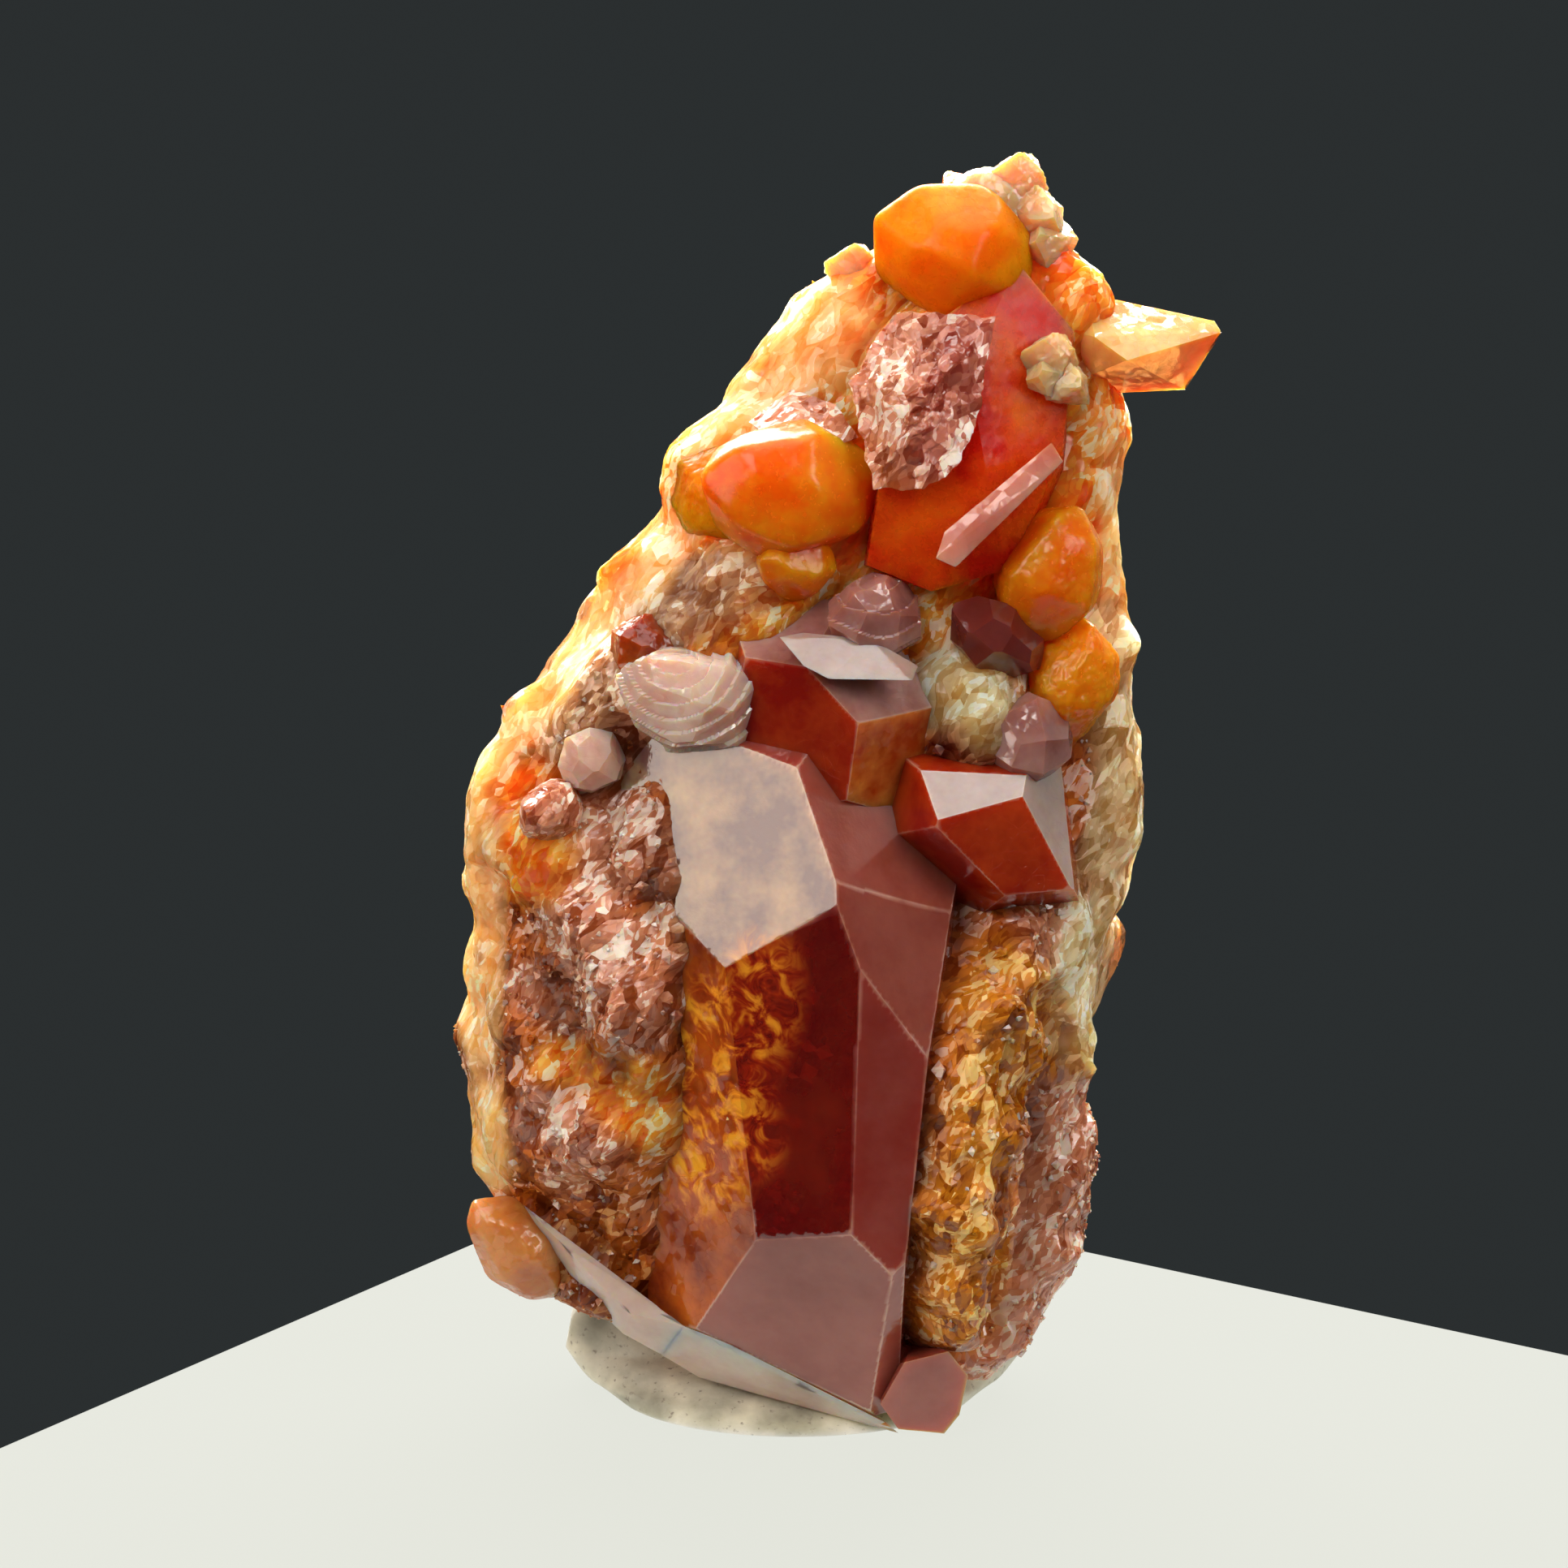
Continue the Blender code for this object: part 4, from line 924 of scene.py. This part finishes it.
def add(tree, kind, inputs=None, **settings):
    """A new node with its settings; each input is linked if it is a socket, and set if it is a value."""
    made = tree.nodes.new(kind)
    for key, value in settings.items():
        setattr(made, key, value)
    for key, value in (inputs or {}).items():
        if isinstance(value, bpy.types.NodeSocket):
            tree.links.new(value, made.inputs[key])
        else:
            made.inputs[key].default_value = value
    return made


def mark(tree, name):
    """The value of the piece's own attribute of that name, 0 where it has none."""
    return add(tree, "ShaderNodeAttribute", attribute_name=name).outputs["Fac"]


def noise(tree, place, scale, detail, roughness=0.5, distortion=0.0, output="Fac"):
    """Cloudy noise, scale times as fine as a millimetre."""
    settings = {"Vector": place, "Scale": scale, "Detail": detail, "Roughness": roughness,
                "Distortion": distortion}
    return add(tree, "ShaderNodeTexNoise", settings).outputs[output]


def maths(tree, operation, *values):
    """The result of sums or products of values."""
    return add(tree, "ShaderNodeMath", dict(enumerate(values)), operation=operation).outputs[0]


def vectors(tree, operation, *values, output="Vector"):
    """The result of the same kind of sums on vectors."""
    made = add(tree, "ShaderNodeVectorMath", dict(enumerate(values)), operation=operation)
    return made.outputs[output]


def start(name):
    """A material whose graph holds its shader, its output and Object coordinates in millimetres."""
    material = bpy.data.materials.new(name)
    material.use_nodes = True
    tree = material.node_tree
    shader = tree.nodes["Principled BSDF"]
    coordinates = add(tree, "ShaderNodeTexCoord").outputs["Object"]
    place = add(tree, "ShaderNodeMapping", {"Vector": coordinates, "Scale": (1 / MM,) * 3}).outputs[0]
    return material, tree, shader, place


def blend(tree, share, first, second):
    """Mix two colours, each a socket or three numbers, by a share."""
    made = add(tree, "ShaderNodeMix", {"Factor": share}, data_type="RGBA")
    for key, value in ((6, first), (7, second)):
        if isinstance(value, bpy.types.NodeSocket):
            tree.links.new(value, made.inputs[key])
        else:
            made.inputs[key].default_value = (*value, 1.0)
    return made.outputs[2]


def spread(tree, value, low, high, to_low=0.0, to_high=1.0):
    """Carry a value from one span of numbers to another, held at its ends."""
    spans = {"Value": value, "From Min": low, "From Max": high, "To Min": to_low, "To Max": to_high}
    return add(tree, "ShaderNodeMapRange", spans).outputs[0]


# %% [markdown]
# An etched garnet is a crowd of tiny flat facets that each face their own way. Cells of a
# Voronoi texture do that: each cell's random colour is read as a tilt, so the height in it
# is a plane, and a bump turns the planes into facets. Drawn out and warped, the cells are
# the slanting shards of the crust.

# %% Facets, shards and scattered light


def facets(tree, place, count):
    """Tiny flat facets, count to a millimetre: their height and a chance number for each cell. The height is
    the cell's chance tilt dotted with the way from its middle."""
    cells = add(tree, "ShaderNodeTexVoronoi", {"Vector": place, "Scale": count}).outputs
    tilt = vectors(tree, "SUBTRACT", cells["Color"], (0.5, 0.5, 0.5))
    away = vectors(tree, "SUBTRACT", place, cells["Position"])
    height = vectors(tree, "DOT_PRODUCT", tilt, away, output="Value")
    return height, add(tree, "ShaderNodeSeparateXYZ", {0: cells["Color"]}).outputs["X"]


def shards(tree, place):
    """Coordinates in which facets become long slanting shards: drawn out along a slope, then warped."""
    warp = noise(tree, place, 1.1, 1.0, output="Color")
    bent = vectors(tree, "MULTIPLY_ADD", warp, (0.55, 0.55, 0.55), place)
    drawn = {"Vector": bent, "Rotation": (0.0, math.radians(37.0), 0.0), "Scale": (1.0, 1.0, 1.9)}
    return add(tree, "ShaderNodeMapping", drawn, vector_type="TEXTURE").outputs[0]


def raised(tree, shader, *layers):
    """Chain one bump for each height and its depth in millimetres, the last one into the shader."""
    normal = None
    for height, depth in layers:
        bump = add(tree, "ShaderNodeBump", {"Height": height, "Strength": 1.0, "Distance": depth * MM})
        if normal is not None:
            tree.links.new(normal, bump.inputs["Normal"])
        normal = bump.outputs[0]
    tree.links.new(normal, shader.inputs["Normal"])


def scatter(shader, weight, depth, reach=(1.0, 0.35, 0.08)):
    """Light that wanders inside the stone, red furthest."""
    shader.inputs["Subsurface Weight"].default_value = weight
    shader.inputs["Subsurface Radius"].default_value = reach
    shader.inputs["Subsurface Scale"].default_value = depth * MM


# %% [markdown]
# Clear garnet lets light through and colours it on the way: thin parts glow orange, thick
# ones go red and then almost black. That is transmission with absorption inside the stone,
# while the skin and its clouds scatter light. One graph with a few numbers serves every
# crystal: a deep colour, a paler veil, how clear, how polished and how crackled it is.

# %% The garnet finish
WORN_EDGE = (0.8, 0.56, 0.46)
GARNET_IOR = 1.8


def garnet(name, deep, veil, absorb, density, polish=0.05, clear=1.0, glow=1.5, crackle=0.0, cloud=0.35,
           gloss=0.5):
    """Garnet with clouds of a paler veil in its body colour, absorption inside, and a crackle of facets if
    etched. Embers, where the piece has them, are cracks close behind the face whose orange glow is painted
    into the colour, and its worn edges are pale."""
    material, tree, shader, place = start(name)
    cloudy = noise(tree, place, 0.55, 4.0, 0.62)
    fine = noise(tree, place, 6.0, 2.0, 0.6)
    cracks = noise(tree, place, 1.7, 3.0, 0.6, 1.0)
    colour = blend(tree, spread(tree, cloudy, 0.62 - cloud, 0.72), deep, veil)
    painted_crack_glow = mark(tree, "painted_crack_glow")
    # painted glow: where the embers lie, the colour is painted bright orange as if the cracks were lit from
    # inside
    glowing = blend(tree, spread(tree, cracks, 0.46, 0.66), (0.5, 0.055, 0.003), (1.0, 0.42, 0.025))
    bright = maths(tree, "MULTIPLY", painted_crack_glow, spread(tree, cracks, 0.36, 0.56))
    colour = blend(tree, bright, colour, glowing)
    worn = spread(tree, mark(tree, "edge"), 0.3, 1.0)
    worn = maths(tree, "MULTIPLY", worn, spread(tree, cloudy, 0.35, 0.6, 0.1, 0.75))
    worn = maths(tree, "MULTIPLY", worn, spread(tree, painted_crack_glow, 0.0, 0.4, 1.0, 0.0))
    tree.links.new(blend(tree, worn, colour, WORN_EDGE), shader.inputs["Base Color"])
    covered = maths(tree, "MAXIMUM", bright, worn)
    tree.links.new(spread(tree, covered, 0.0, 1.0, clear, 0.3 * clear), shader.inputs["Transmission Weight"])
    tree.links.new(spread(tree, fine, 0.35, 0.75, polish, polish + 0.1), shader.inputs["Roughness"])
    shader.inputs["Specular IOR Level"].default_value = gloss
    if crackle:
        large, small = facets(tree, place, 1.7)[0], facets(tree, place, 4.5)[0]
        raised(tree, shader, (large, 0.8 * crackle), (small, crackle))
    else:
        raised(tree, shader, (fine, 0.006))
    shader.inputs["IOR"].default_value = GARNET_IOR
    scatter(shader, 0.85, glow)
    inside = add(tree, "ShaderNodeVolumeAbsorption", {"Color": (*absorb, 1.0), "Density": density})
    tree.links.new(inside.outputs[0], tree.nodes["Material Output"].inputs["Volume"])
    return material


# %% [markdown]
# The faces and crystals differ in tone: dark clear red in front, mauve where a face
# mirrors the grey room, partly real reflection and partly painted sheen, a cream painted
# sheen on the left shoulder, a grey painted sheen on the plate and bars, a lilac painted
# reflection on the bevel, amber over the cracks with their painted glow, bright orange
# near the top, cream and peach in the thin ends.

# %% Garnets of this specimen
RED = (0.85, 0.25, 0.04)
PALE_ROSE = (0.9, 0.6, 0.5)
HONEY_LIGHT = (1.0, 0.7, 0.35)
CLEAR_RED = garnet("clear red garnet", (0.5, 0.008, 0.004), (0.76, 0.06, 0.015), RED, 700.0, 0.03, 0.8,
                   cloud=0.25, gloss=0.3)
HAZY_RED = garnet("hazy red garnet", (0.42, 0.04, 0.025), (0.54, 0.12, 0.09), RED, 800.0, 0.05, 0.45,
                  gloss=0.35)
# partly painted reflection: the mauve stands in for the grey room mirrored in these faces, besides their
# real gloss
MAUVE_PAINTED_SHEEN = garnet("garnet face with painted mauve sheen", (0.33, 0.06, 0.035), (0.48, 0.14, 0.1), RED, 800.0, 0.08, 0.3,
                    gloss=0.4)
# painted reflection: cream clouds on the left shoulder stand in for the bright light it mirrors
CREAM_PAINTED_SHEEN = garnet("garnet face with painted cream sheen", (0.22, 0.09, 0.08), (0.8, 0.5, 0.24), RED, 800.0, 0.05, 0.3,
                    cloud=0.2)
AMBER = garnet("amber garnet", (0.24, 0.026, 0.002), (0.7, 0.16, 0.01), RED, 600.0, 0.16, 0.2, 1.2, 0.2,
               0.25, 0.2)
# painted reflection: the pale lilac stands in for the bright floor mirrored in the bevel
LILAC_PAINTED_REFLECTION = garnet("garnet bevel with painted lilac reflection", (0.58, 0.37, 0.31), (0.78, 0.6, 0.52), RED, 600.0, 0.12, 0.2)
ORANGE = garnet("orange garnet", (0.9, 0.15, 0.001), (1.0, 0.42, 0.01), (0.99, 0.76, 0.05), 400.0, 0.2, 0.2,
                2.8, 0.1, 0.2, 0.06)
YELLOW_ORANGE = garnet("yellow orange garnet", (0.92, 0.16, 0.001), (1.0, 0.33, 0.002), (0.99, 0.8, 0.1),
                       400.0, 0.26, 0.1, 2.8, 0.1, 0.2, 0.03)
TRUNK_RED = garnet("orange red garnet", (0.66, 0.01, 0.001), (1.0, 0.15, 0.003), (0.98, 0.4, 0.02), 300.0,
                   0.24, 0.15, 2.8, 0.06, 0.2, 0.04)
BROWN_RED = garnet("brown red garnet", (0.36, 0.01, 0.003), (0.66, 0.08, 0.01), RED, 500.0, 0.06, 0.3, 1.6,
                   0.04, 0.22, 0.25)
SPECKLED = garnet("speckled brown garnet", (0.46, 0.06, 0.006), (0.96, 0.36, 0.06), RED, 500.0, 0.1, 0.2,
                  1.6, 0.2, 0.2, 0.3)
MAUVE = garnet("mauve garnet", (0.34, 0.13, 0.11), (0.58, 0.32, 0.28), PALE_ROSE, 400.0, 0.1, 0.25, 1.0,
               0.12, 0.25)
PINK = garnet("pink garnet", (0.5, 0.15, 0.1), (0.7, 0.32, 0.24), PALE_ROSE, 400.0, 0.1, 0.2, 1.0, 0.12,
              0.25, 0.3)
SHELL = garnet("pale mauve garnet shell", (0.72, 0.4, 0.31), (0.96, 0.78, 0.68), PALE_ROSE, 400.0, 0.08,
               0.2, 1.0, 0.12)
DARK = garnet("dark garnet", (0.22, 0.02, 0.015), (0.36, 0.08, 0.06), (0.75, 0.25, 0.12), 1500.0, 0.1, 0.6)
HONEY = garnet("honey garnet", (0.72, 0.26, 0.04), (0.96, 0.6, 0.2), HONEY_LIGHT, 400.0, 0.14, 0.3, 1.2,
               0.15, 0.25, 0.25)
PEACH = garnet("peach garnet", (0.62, 0.17, 0.02), (0.88, 0.43, 0.13), HONEY_LIGHT, 500.0, 0.16, 0.3, 1.2,
               0.25, 0.25, 0.3)
CREAM = garnet("cream garnet", (0.76, 0.42, 0.18), (0.94, 0.68, 0.4), HONEY_LIGHT, 500.0, 0.16, 0.2, 1.5,
               0.4, 0.25, 0.3)
# painted reflection: the grey stands in for light mirrored by the plate and the ledge's bars
GREY_PAINTED_SHEEN = garnet("garnet with painted grey sheen", (0.36, 0.22, 0.18), (0.56, 0.42, 0.36), PALE_ROSE, 400.0, 0.1, 0.2,
                    1.0, 0.05)
print(len(bpy.data.materials), "finishes so far")

# %% [markdown]
# The mass is the same mineral full of cracks and pores, so light enters it, scatters and
# comes out warm: subsurface scattering. Every zone has three colours, for its dark shards,
# its bright ones and its palest tips, which are partly painted glints, and the hollows get
# painted shade, darker towards black. One bump tilts the shards of both sizes.

# %% The crust of the mass and its grains
ZONE_COLOURS = {
    "silver": ((0.36, 0.075, 0.02), (0.8, 0.35, 0.2), (0.98, 0.81, 0.67)),
    "burgundy": ((0.32, 0.045, 0.025), (0.66, 0.24, 0.16), (0.95, 0.74, 0.62)),
    # painted glow: the glow zone is bright orange to cream as if light shone through the stone
    "glow": ((0.92, 0.16, 0.003), (1.0, 0.5, 0.04), (1.0, 0.82, 0.46)),
    "tan": ((0.34, 0.12, 0.04), (0.74, 0.44, 0.24), (0.95, 0.8, 0.6)),
    "ochre": ((0.3, 0.06, 0.002), (0.76, 0.29, 0.015), (0.9, 0.6, 0.2)),
    "pale": ((0.56, 0.32, 0.1), (0.86, 0.72, 0.42), (0.95, 0.9, 0.7)),
    # partly painted glow: the rind's pale cream stands in for light shining through the thin rims
    "rind_and_painted_glow": ((0.9, 0.46, 0.12), (0.98, 0.72, 0.36), (0.99, 0.88, 0.62)),
    "amber": ((0.18, 0.022, 0.002), (0.48, 0.12, 0.01), (0.66, 0.3, 0.1)),
    # painted glow: the heart, seen through the great crystal, is bright orange as if lit from within
    "heart": ((0.85, 0.12, 0.02), (1.0, 0.3, 0.05), (1.0, 0.55, 0.15)),
}


def crust(name, tinted, glitter, depth, weight, gloss, reach=(1.0, 0.35, 0.08)):
    """Cracked garnet: shards in each zone's dark, bright and palest colours, each tilted its own way. The
    palest are partly painted glints, and the hollows get painted shade.
    """
    material, tree, shader, place = start(name)
    patchy = spread(tree, noise(tree, place, 0.6, 3.0, 0.6), 0.36, 0.64)
    slanting = shards(tree, place)
    large, large_chance = facets(tree, slanting, 1.5)
    small, small_chance = facets(tree, slanting, 4.0)
    tiny_chance = facets(tree, slanting, 9.0)[1]
    mixed = maths(tree, "ADD", large_chance, small_chance)
    mixed = maths(tree, "MULTIPLY_ADD", tiny_chance, 0.8, mixed)
    bright = spread(tree, mixed, 0.7, 2.0)
    palest_and_glint_share = spread(tree, mixed, 1.75, 2.05)
    colour = blend(tree, bright, blend(tree, patchy, (0.14, 0.022, 0.005), (0.3, 0.045, 0.004)),
                   blend(tree, patchy, (0.52, 0.15, 0.05), (0.85, 0.22, 0.012)))
    # the palest shard tips are pale crystal ends and partly painted glints of light
    tips_and_painted_glints = (0.84, 0.52, 0.4)
    for zone_name, (dark, light, tip_and_painted_glint) in ZONE_COLOURS.items():
        share = mark(tree, zone_name)
        colour = blend(tree, share, colour, blend(tree, bright, dark, light))
        tips_and_painted_glints = blend(tree, share, tips_and_painted_glints, tip_and_painted_glint)
    colour = blend(tree, palest_and_glint_share, colour, tips_and_painted_glints)
    # painted shade: where the relief sinks into a hollow, the colour is darkened towards black
    free_of_painted_shade = spread(tree, mark(tree, "relief"), -0.4, 0.0)
    colour = blend(tree, free_of_painted_shade, blend(tree, 0.8, colour, (0.05, 0.008, 0.003)), colour)
    if tinted:
        whiter = spread(tree, mark(tree, "tint"), 0.45, 1.0, 0.0, 0.7)
        colour = blend(tree, whiter, colour, (0.9, 0.74, 0.68))
    tree.links.new(colour, shader.inputs["Base Color"])
    tree.links.new(spread(tree, small_chance, 0.0, 1.0, glitter, glitter + 0.3), shader.inputs["Roughness"])
    raised(tree, shader, (maths(tree, "ADD", large, small), 1.0))
    shader.inputs["IOR"].default_value = 1.75
    shader.inputs["Specular IOR Level"].default_value = gloss
    scatter(shader, weight, depth, reach)
    return material


MASS_CRUST = crust("cracked garnet crust", False, 0.14, 0.6, 0.4, 0.15)
SILVER_CRUST = crust("silvery garnet crust", False, 0.08, 0.8, 0.5, 0.4)
CLEAR_CRUST = crust("clearer garnet crust", False, 0.18, 2.6, 0.9, 0.2, (1.0, 0.6, 0.25))
GRAIN_CRUST = crust("sparkling garnet grains", True, 0.05, 0.5, 0.4, 0.4)
print(len(bpy.data.materials), "finishes with the crusts")

# %% [markdown]
# The crumbs inside the great crystal are orange to pale yellow, each by its own tint,
# because the red stone round them already colours their light.

# %% Crumbs
INCLUSIONS, tree, shader, place = start("glowing crumbs")
shade = blend(tree, mark(tree, "tint"), (0.75, 0.22, 0.03), (1.0, 0.72, 0.3))
tree.links.new(shade, shader.inputs["Base Color"])
shader.inputs["Roughness"].default_value = 0.35
scatter(shader, 0.5, 0.2, (1.0, 0.4, 0.1))
print(INCLUSIONS.name, "has", len(tree.nodes), "nodes")

# %% [markdown]
# Mounting putty is greyish green, dull and a little translucent, with finger-soft
# unevenness and specks of dust pressed into it.

# %% Putty
PUTTY, tree, shader, place = start("mounting putty")
cloudy = noise(tree, place, 0.6, 5.0)
specks = noise(tree, place, 7.0, 3.0)
colour = blend(tree, spread(tree, cloudy, 0.35, 0.65), (0.28, 0.27, 0.21), (0.74, 0.7, 0.57))
colour = blend(tree, spread(tree, specks, 0.62, 0.75), colour, (0.2, 0.17, 0.14))
tree.links.new(colour, shader.inputs["Base Color"])
tree.links.new(spread(tree, specks, 0.3, 0.8, 0.35, 0.6), shader.inputs["Roughness"])
bump = add(tree, "ShaderNodeBump", {"Height": cloudy, "Strength": 0.4, "Distance": 0.3 * MM})
tree.links.new(bump.outputs[0], shader.inputs["Normal"])
scatter(shader, 0.6, 1.0, (1.0, 1.0, 0.8))
print(PUTTY.name, "has", len(tree.nodes), "nodes")

# %% [markdown]
# Each piece now takes its finish, rides on the one body, and stands for its solid. The
# great crystal and its two neighbours take a finish for each face, by the material index
# that their triangles got, and the mass takes one of three crusts by its zones.

# %% Finishes and places in the model
FINISHES = {
    "top_orange": YELLOW_ORANGE, "summit_cap": CREAM, "left_orange": ORANGE,
    "left_orange_back": YELLOW_ORANGE, "brown_small": ORANGE, "right_orange": ORANGE, "dark": DARK,
    "mauve_block": MAUVE, "shell": SHELL, "small_mauve": SHELL, "right_mauve": MAUVE, "lower_left": PEACH,
    "right_chunk": ORANGE, "pink_left": SILVER_CRUST, "tan_crystal": AMBER,
    "trunk": TRUNK_RED, "etched_patch": SILVER_CRUST, "left_wedge": SILVER_CRUST, "wing": HONEY, "bar": PINK,
    "plate": GREY_PAINTED_SHEEN, "bevel_strip": LILAC_PAINTED_REFLECTION, "bevel_tail": LILAC_PAINTED_REFLECTION, "corner_block": MAUVE_PAINTED_SHEEN,
    "grains": GRAIN_CRUST, "inclusions": INCLUSIONS,
    **{name: TRUNK_RED for name in BACK_CRYSTALS},
    **{name: CREAM for name in clear_lumps}, "summit_3": ORANGE, "summit_4": ORANGE,
}
# finishes with painted sheen or reflection go on the faces that mirror light
SIDE_FINISHES = {
    "great_crystal": (GREAT_FACES, HAZY_RED, {
        "front": CLEAR_RED, "shoulder_left": CREAM_PAINTED_SHEEN, "shoulder_right": MAUVE_PAINTED_SHEEN,
        "top_right": MAUVE_PAINTED_SHEEN, "etched_left": AMBER, "lower_left": AMBER,
        "lower_front": MAUVE_PAINTED_SHEEN, "lower_right": MAUVE_PAINTED_SHEEN,
        "bevel": LILAC_PAINTED_REFLECTION, "bevel_left": LILAC_PAINTED_REFLECTION}),
    "middle_crystal": (MIDDLE_FACES, BROWN_RED, {"right": SPECKLED, "top": MAUVE, "upper_left": MAUVE}),
    "ledge_crystal": (LEDGE_FACES, BROWN_RED, {"top_bar": GREY_PAINTED_SHEEN, "right_bar": GREY_PAINTED_SHEEN}),
}
stone = {**faceted, **grown, **behind, **broken, **clear_lumps, "rough_mass": mass, "grains": grains,
         "inclusions": inclusions}
for name, piece in stone.items():
    if name in SIDE_FINISHES:
        faces, rest, own = SIDE_FINISHES[name]
        used = [rest, *dict.fromkeys(own.values())]
        side = np.empty(len(piece.data.polygons), np.int32)
        piece.data.polygons.foreach_get("material_index", side)
        by_side = [used.index(own.get(face, rest)) for face in faces] + [0] * (side.max() + 1)
        indices = np.array(by_side)[side]
    elif name == "rough_mass":
        used = [MASS_CRUST, CLEAR_CRUST, SILVER_CRUST]
        clearer = np.maximum.reduce([zones["glow"], zones["rind_and_painted_glow"], zones["pale"]]) > 0.45
        silvery = (np.maximum(zones["silver"], zones["tan"]) > 0.35) & ~clearer
        indices = closed_mark(clearer + 2.0 * silvery)[grid_triangles(*MASS_GRID)[:, 0]]
    else:
        used = [FINISHES[name]]
        indices = np.zeros(len(piece.data.polygons))
    for finish in used:
        piece.data.materials.append(finish)
    piece.data.polygons.foreach_set("material_index", indices.astype(np.int32))
    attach(piece, "root")
    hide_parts("garnet")
putty.data.materials.append(PUTTY)
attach(putty, "root")
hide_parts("putty")
print(len(stone) + 1, "pieces,", sum(len(piece.data.polygons) for piece in stone.values()), "triangles")

# %% [markdown]
# The stage is a plain pale floor whose far corner ends low behind the stone. Its corners
# are given by where they appear in the frame, in pixels across and down. It glows a little
# itself, so that it is evenly pale and the stone's shadow on it stays faint.

# %% The floor
FLOOR_FRAME_CORNERS = ((819, 1431), (-40, 1802), (-40, 1960), (1972, 1960), (1972, 1679))
FRAME_MIDDLE = FRAME_PIXELS / 2.0


def floor_point(across, down):
    """The floor's point on a place's sight line: the eye, plus the way to height 0 along that line."""
    right, up = (across - FRAME_MIDDLE) / PIXELS_PER_MM, (FRAME_MIDDLE - down) / PIXELS_PER_MM
    place = MIDDLE + right * RIGHT + up * UP
    return EYE - EYE[2] / (place[2] - EYE[2]) * (place - EYE) + SHIFT


floor_corners = [floor_point(across, down) for across, down in FLOOR_FRAME_CORNERS]
floor = bpy.data.objects.new("floor", bpy.data.meshes.new("floor"))
floor.data.from_pydata([tuple(corner * MM) for corner in floor_corners], [], [(0, 1, 2, 3, 4)])
bpy.context.scene.collection.objects.link(floor)
FLOOR, tree, shader, place = start("pale floor")
shader.inputs["Base Color"].default_value = (0.012, 0.012, 0.012, 1.0)
shader.inputs["Emission Color"].default_value = (0.66, 0.67, 0.61, 1.0)
shader.inputs["Emission Strength"].default_value = 1.15
shader.inputs["Specular IOR Level"].default_value = 0.0
shader.inputs["Roughness"].default_value = 0.6
floor.data.materials.append(FLOOR)
print("floor corners", [corner.round(1).tolist() for corner in floor_corners])

# %% [markdown]
# The space behind is dark to the camera. For every other ray it is dim in front and grows
# bright towards the upper rear, which the crystal faces mirror and the thin edges let
# through.

# %% The space around
world = bpy.data.worlds.new("space")
bpy.context.scene.world = world
world.use_nodes = True
tree = world.node_tree
by_camera = add(tree, "ShaderNodeLightPath").outputs["Is Camera Ray"]
direction = add(tree, "ShaderNodeTexCoord").outputs["Generated"]
towards = add(tree, "ShaderNodeSeparateXYZ", {0: direction}).outputs
rear = spread(tree, towards["Y"], 0.05, 0.75)
high = spread(tree, towards["Z"], -0.25, 0.5)
upper_rear = maths(tree, "MULTIPLY", rear, high)
room_light = blend(tree, upper_rear, (0.03, 0.03, 0.032), (1.15, 1.1, 1.0))
background = tree.nodes["Background"].inputs
background["Strength"].default_value = 1.0
tree.links.new(blend(tree, by_camera, room_light, (0.024, 0.028, 0.029)), background["Color"])
print("the space is", world.name)

# %% [markdown]
# The lights are soft: a warm window-like one at the left that the grey faces mirror, one
# to each side in front, a wide one above, and one behind and above that makes the thin
# edges glow.

# %% Soft lights


def softbox(name, azimuth, elevation, distance, size, power, colour=(1.0, 1.0, 1.0)):
    """A soft rectangle of light, turned to the stone's middle from an azimuth and elevation."""
    towards_lamp = facing(azimuth, elevation)
    lamp = bpy.data.lights.new(name, "AREA")
    lamp.shape, lamp.size, lamp.size_y = "RECTANGLE", size[0] * MM, size[1] * MM
    lamp.energy, lamp.color = power, colour
    box = bpy.data.objects.new(name, lamp)
    box.location = tuple((MIDDLE + towards_lamp * distance) * MM)
    box.rotation_mode = "QUATERNION"
    box.rotation_quaternion = Vector(towards_lamp).to_track_quat("Z", "Y")
    bpy.context.scene.collection.objects.link(box)
    print(f"{name}: {power} W")


softbox("window", -63, 18, 150, (80, 100), 0.095, (1.0, 0.86, 0.76))
softbox("left front", -28, 42, 150, (60, 60), 0.085, (1.0, 0.93, 0.86))
softbox("right front", 50, 32, 150, (60, 80), 0.1, (1.0, 0.93, 0.88))
softbox("back glow", 178, 42, 90, (110, 70), 0.5)
softbox("top", 10, 82, 140, (120, 100), 0.1)

# %% [markdown]
# The camera is the eye that every seen place was measured from, a little above the stone
# and looking slightly down. Its lens gives the frame the scale in pixels to a millimetre
# that the places were read at.

# %% The camera
SENSOR_WIDTH = 36.0
lens = bpy.data.cameras.new("eye")
lens.sensor_width = SENSOR_WIDTH
lens.lens = EYE_DISTANCE * PIXELS_PER_MM * SENSOR_WIDTH / FRAME_PIXELS
lens.clip_start, lens.clip_end = 0.01, 10.0
eye = bpy.data.objects.new("eye", lens)
eye.location = tuple((EYE + SHIFT) * MM)
eye.rotation_euler = (math.pi / 2 - EYE_RISE, 0.0, 0.0)
bpy.context.scene.collection.objects.link(eye)
bpy.context.scene.camera = eye
bpy.context.scene.view_settings.view_transform = "Standard"
print("lens", round(lens.lens, 1), "mm")
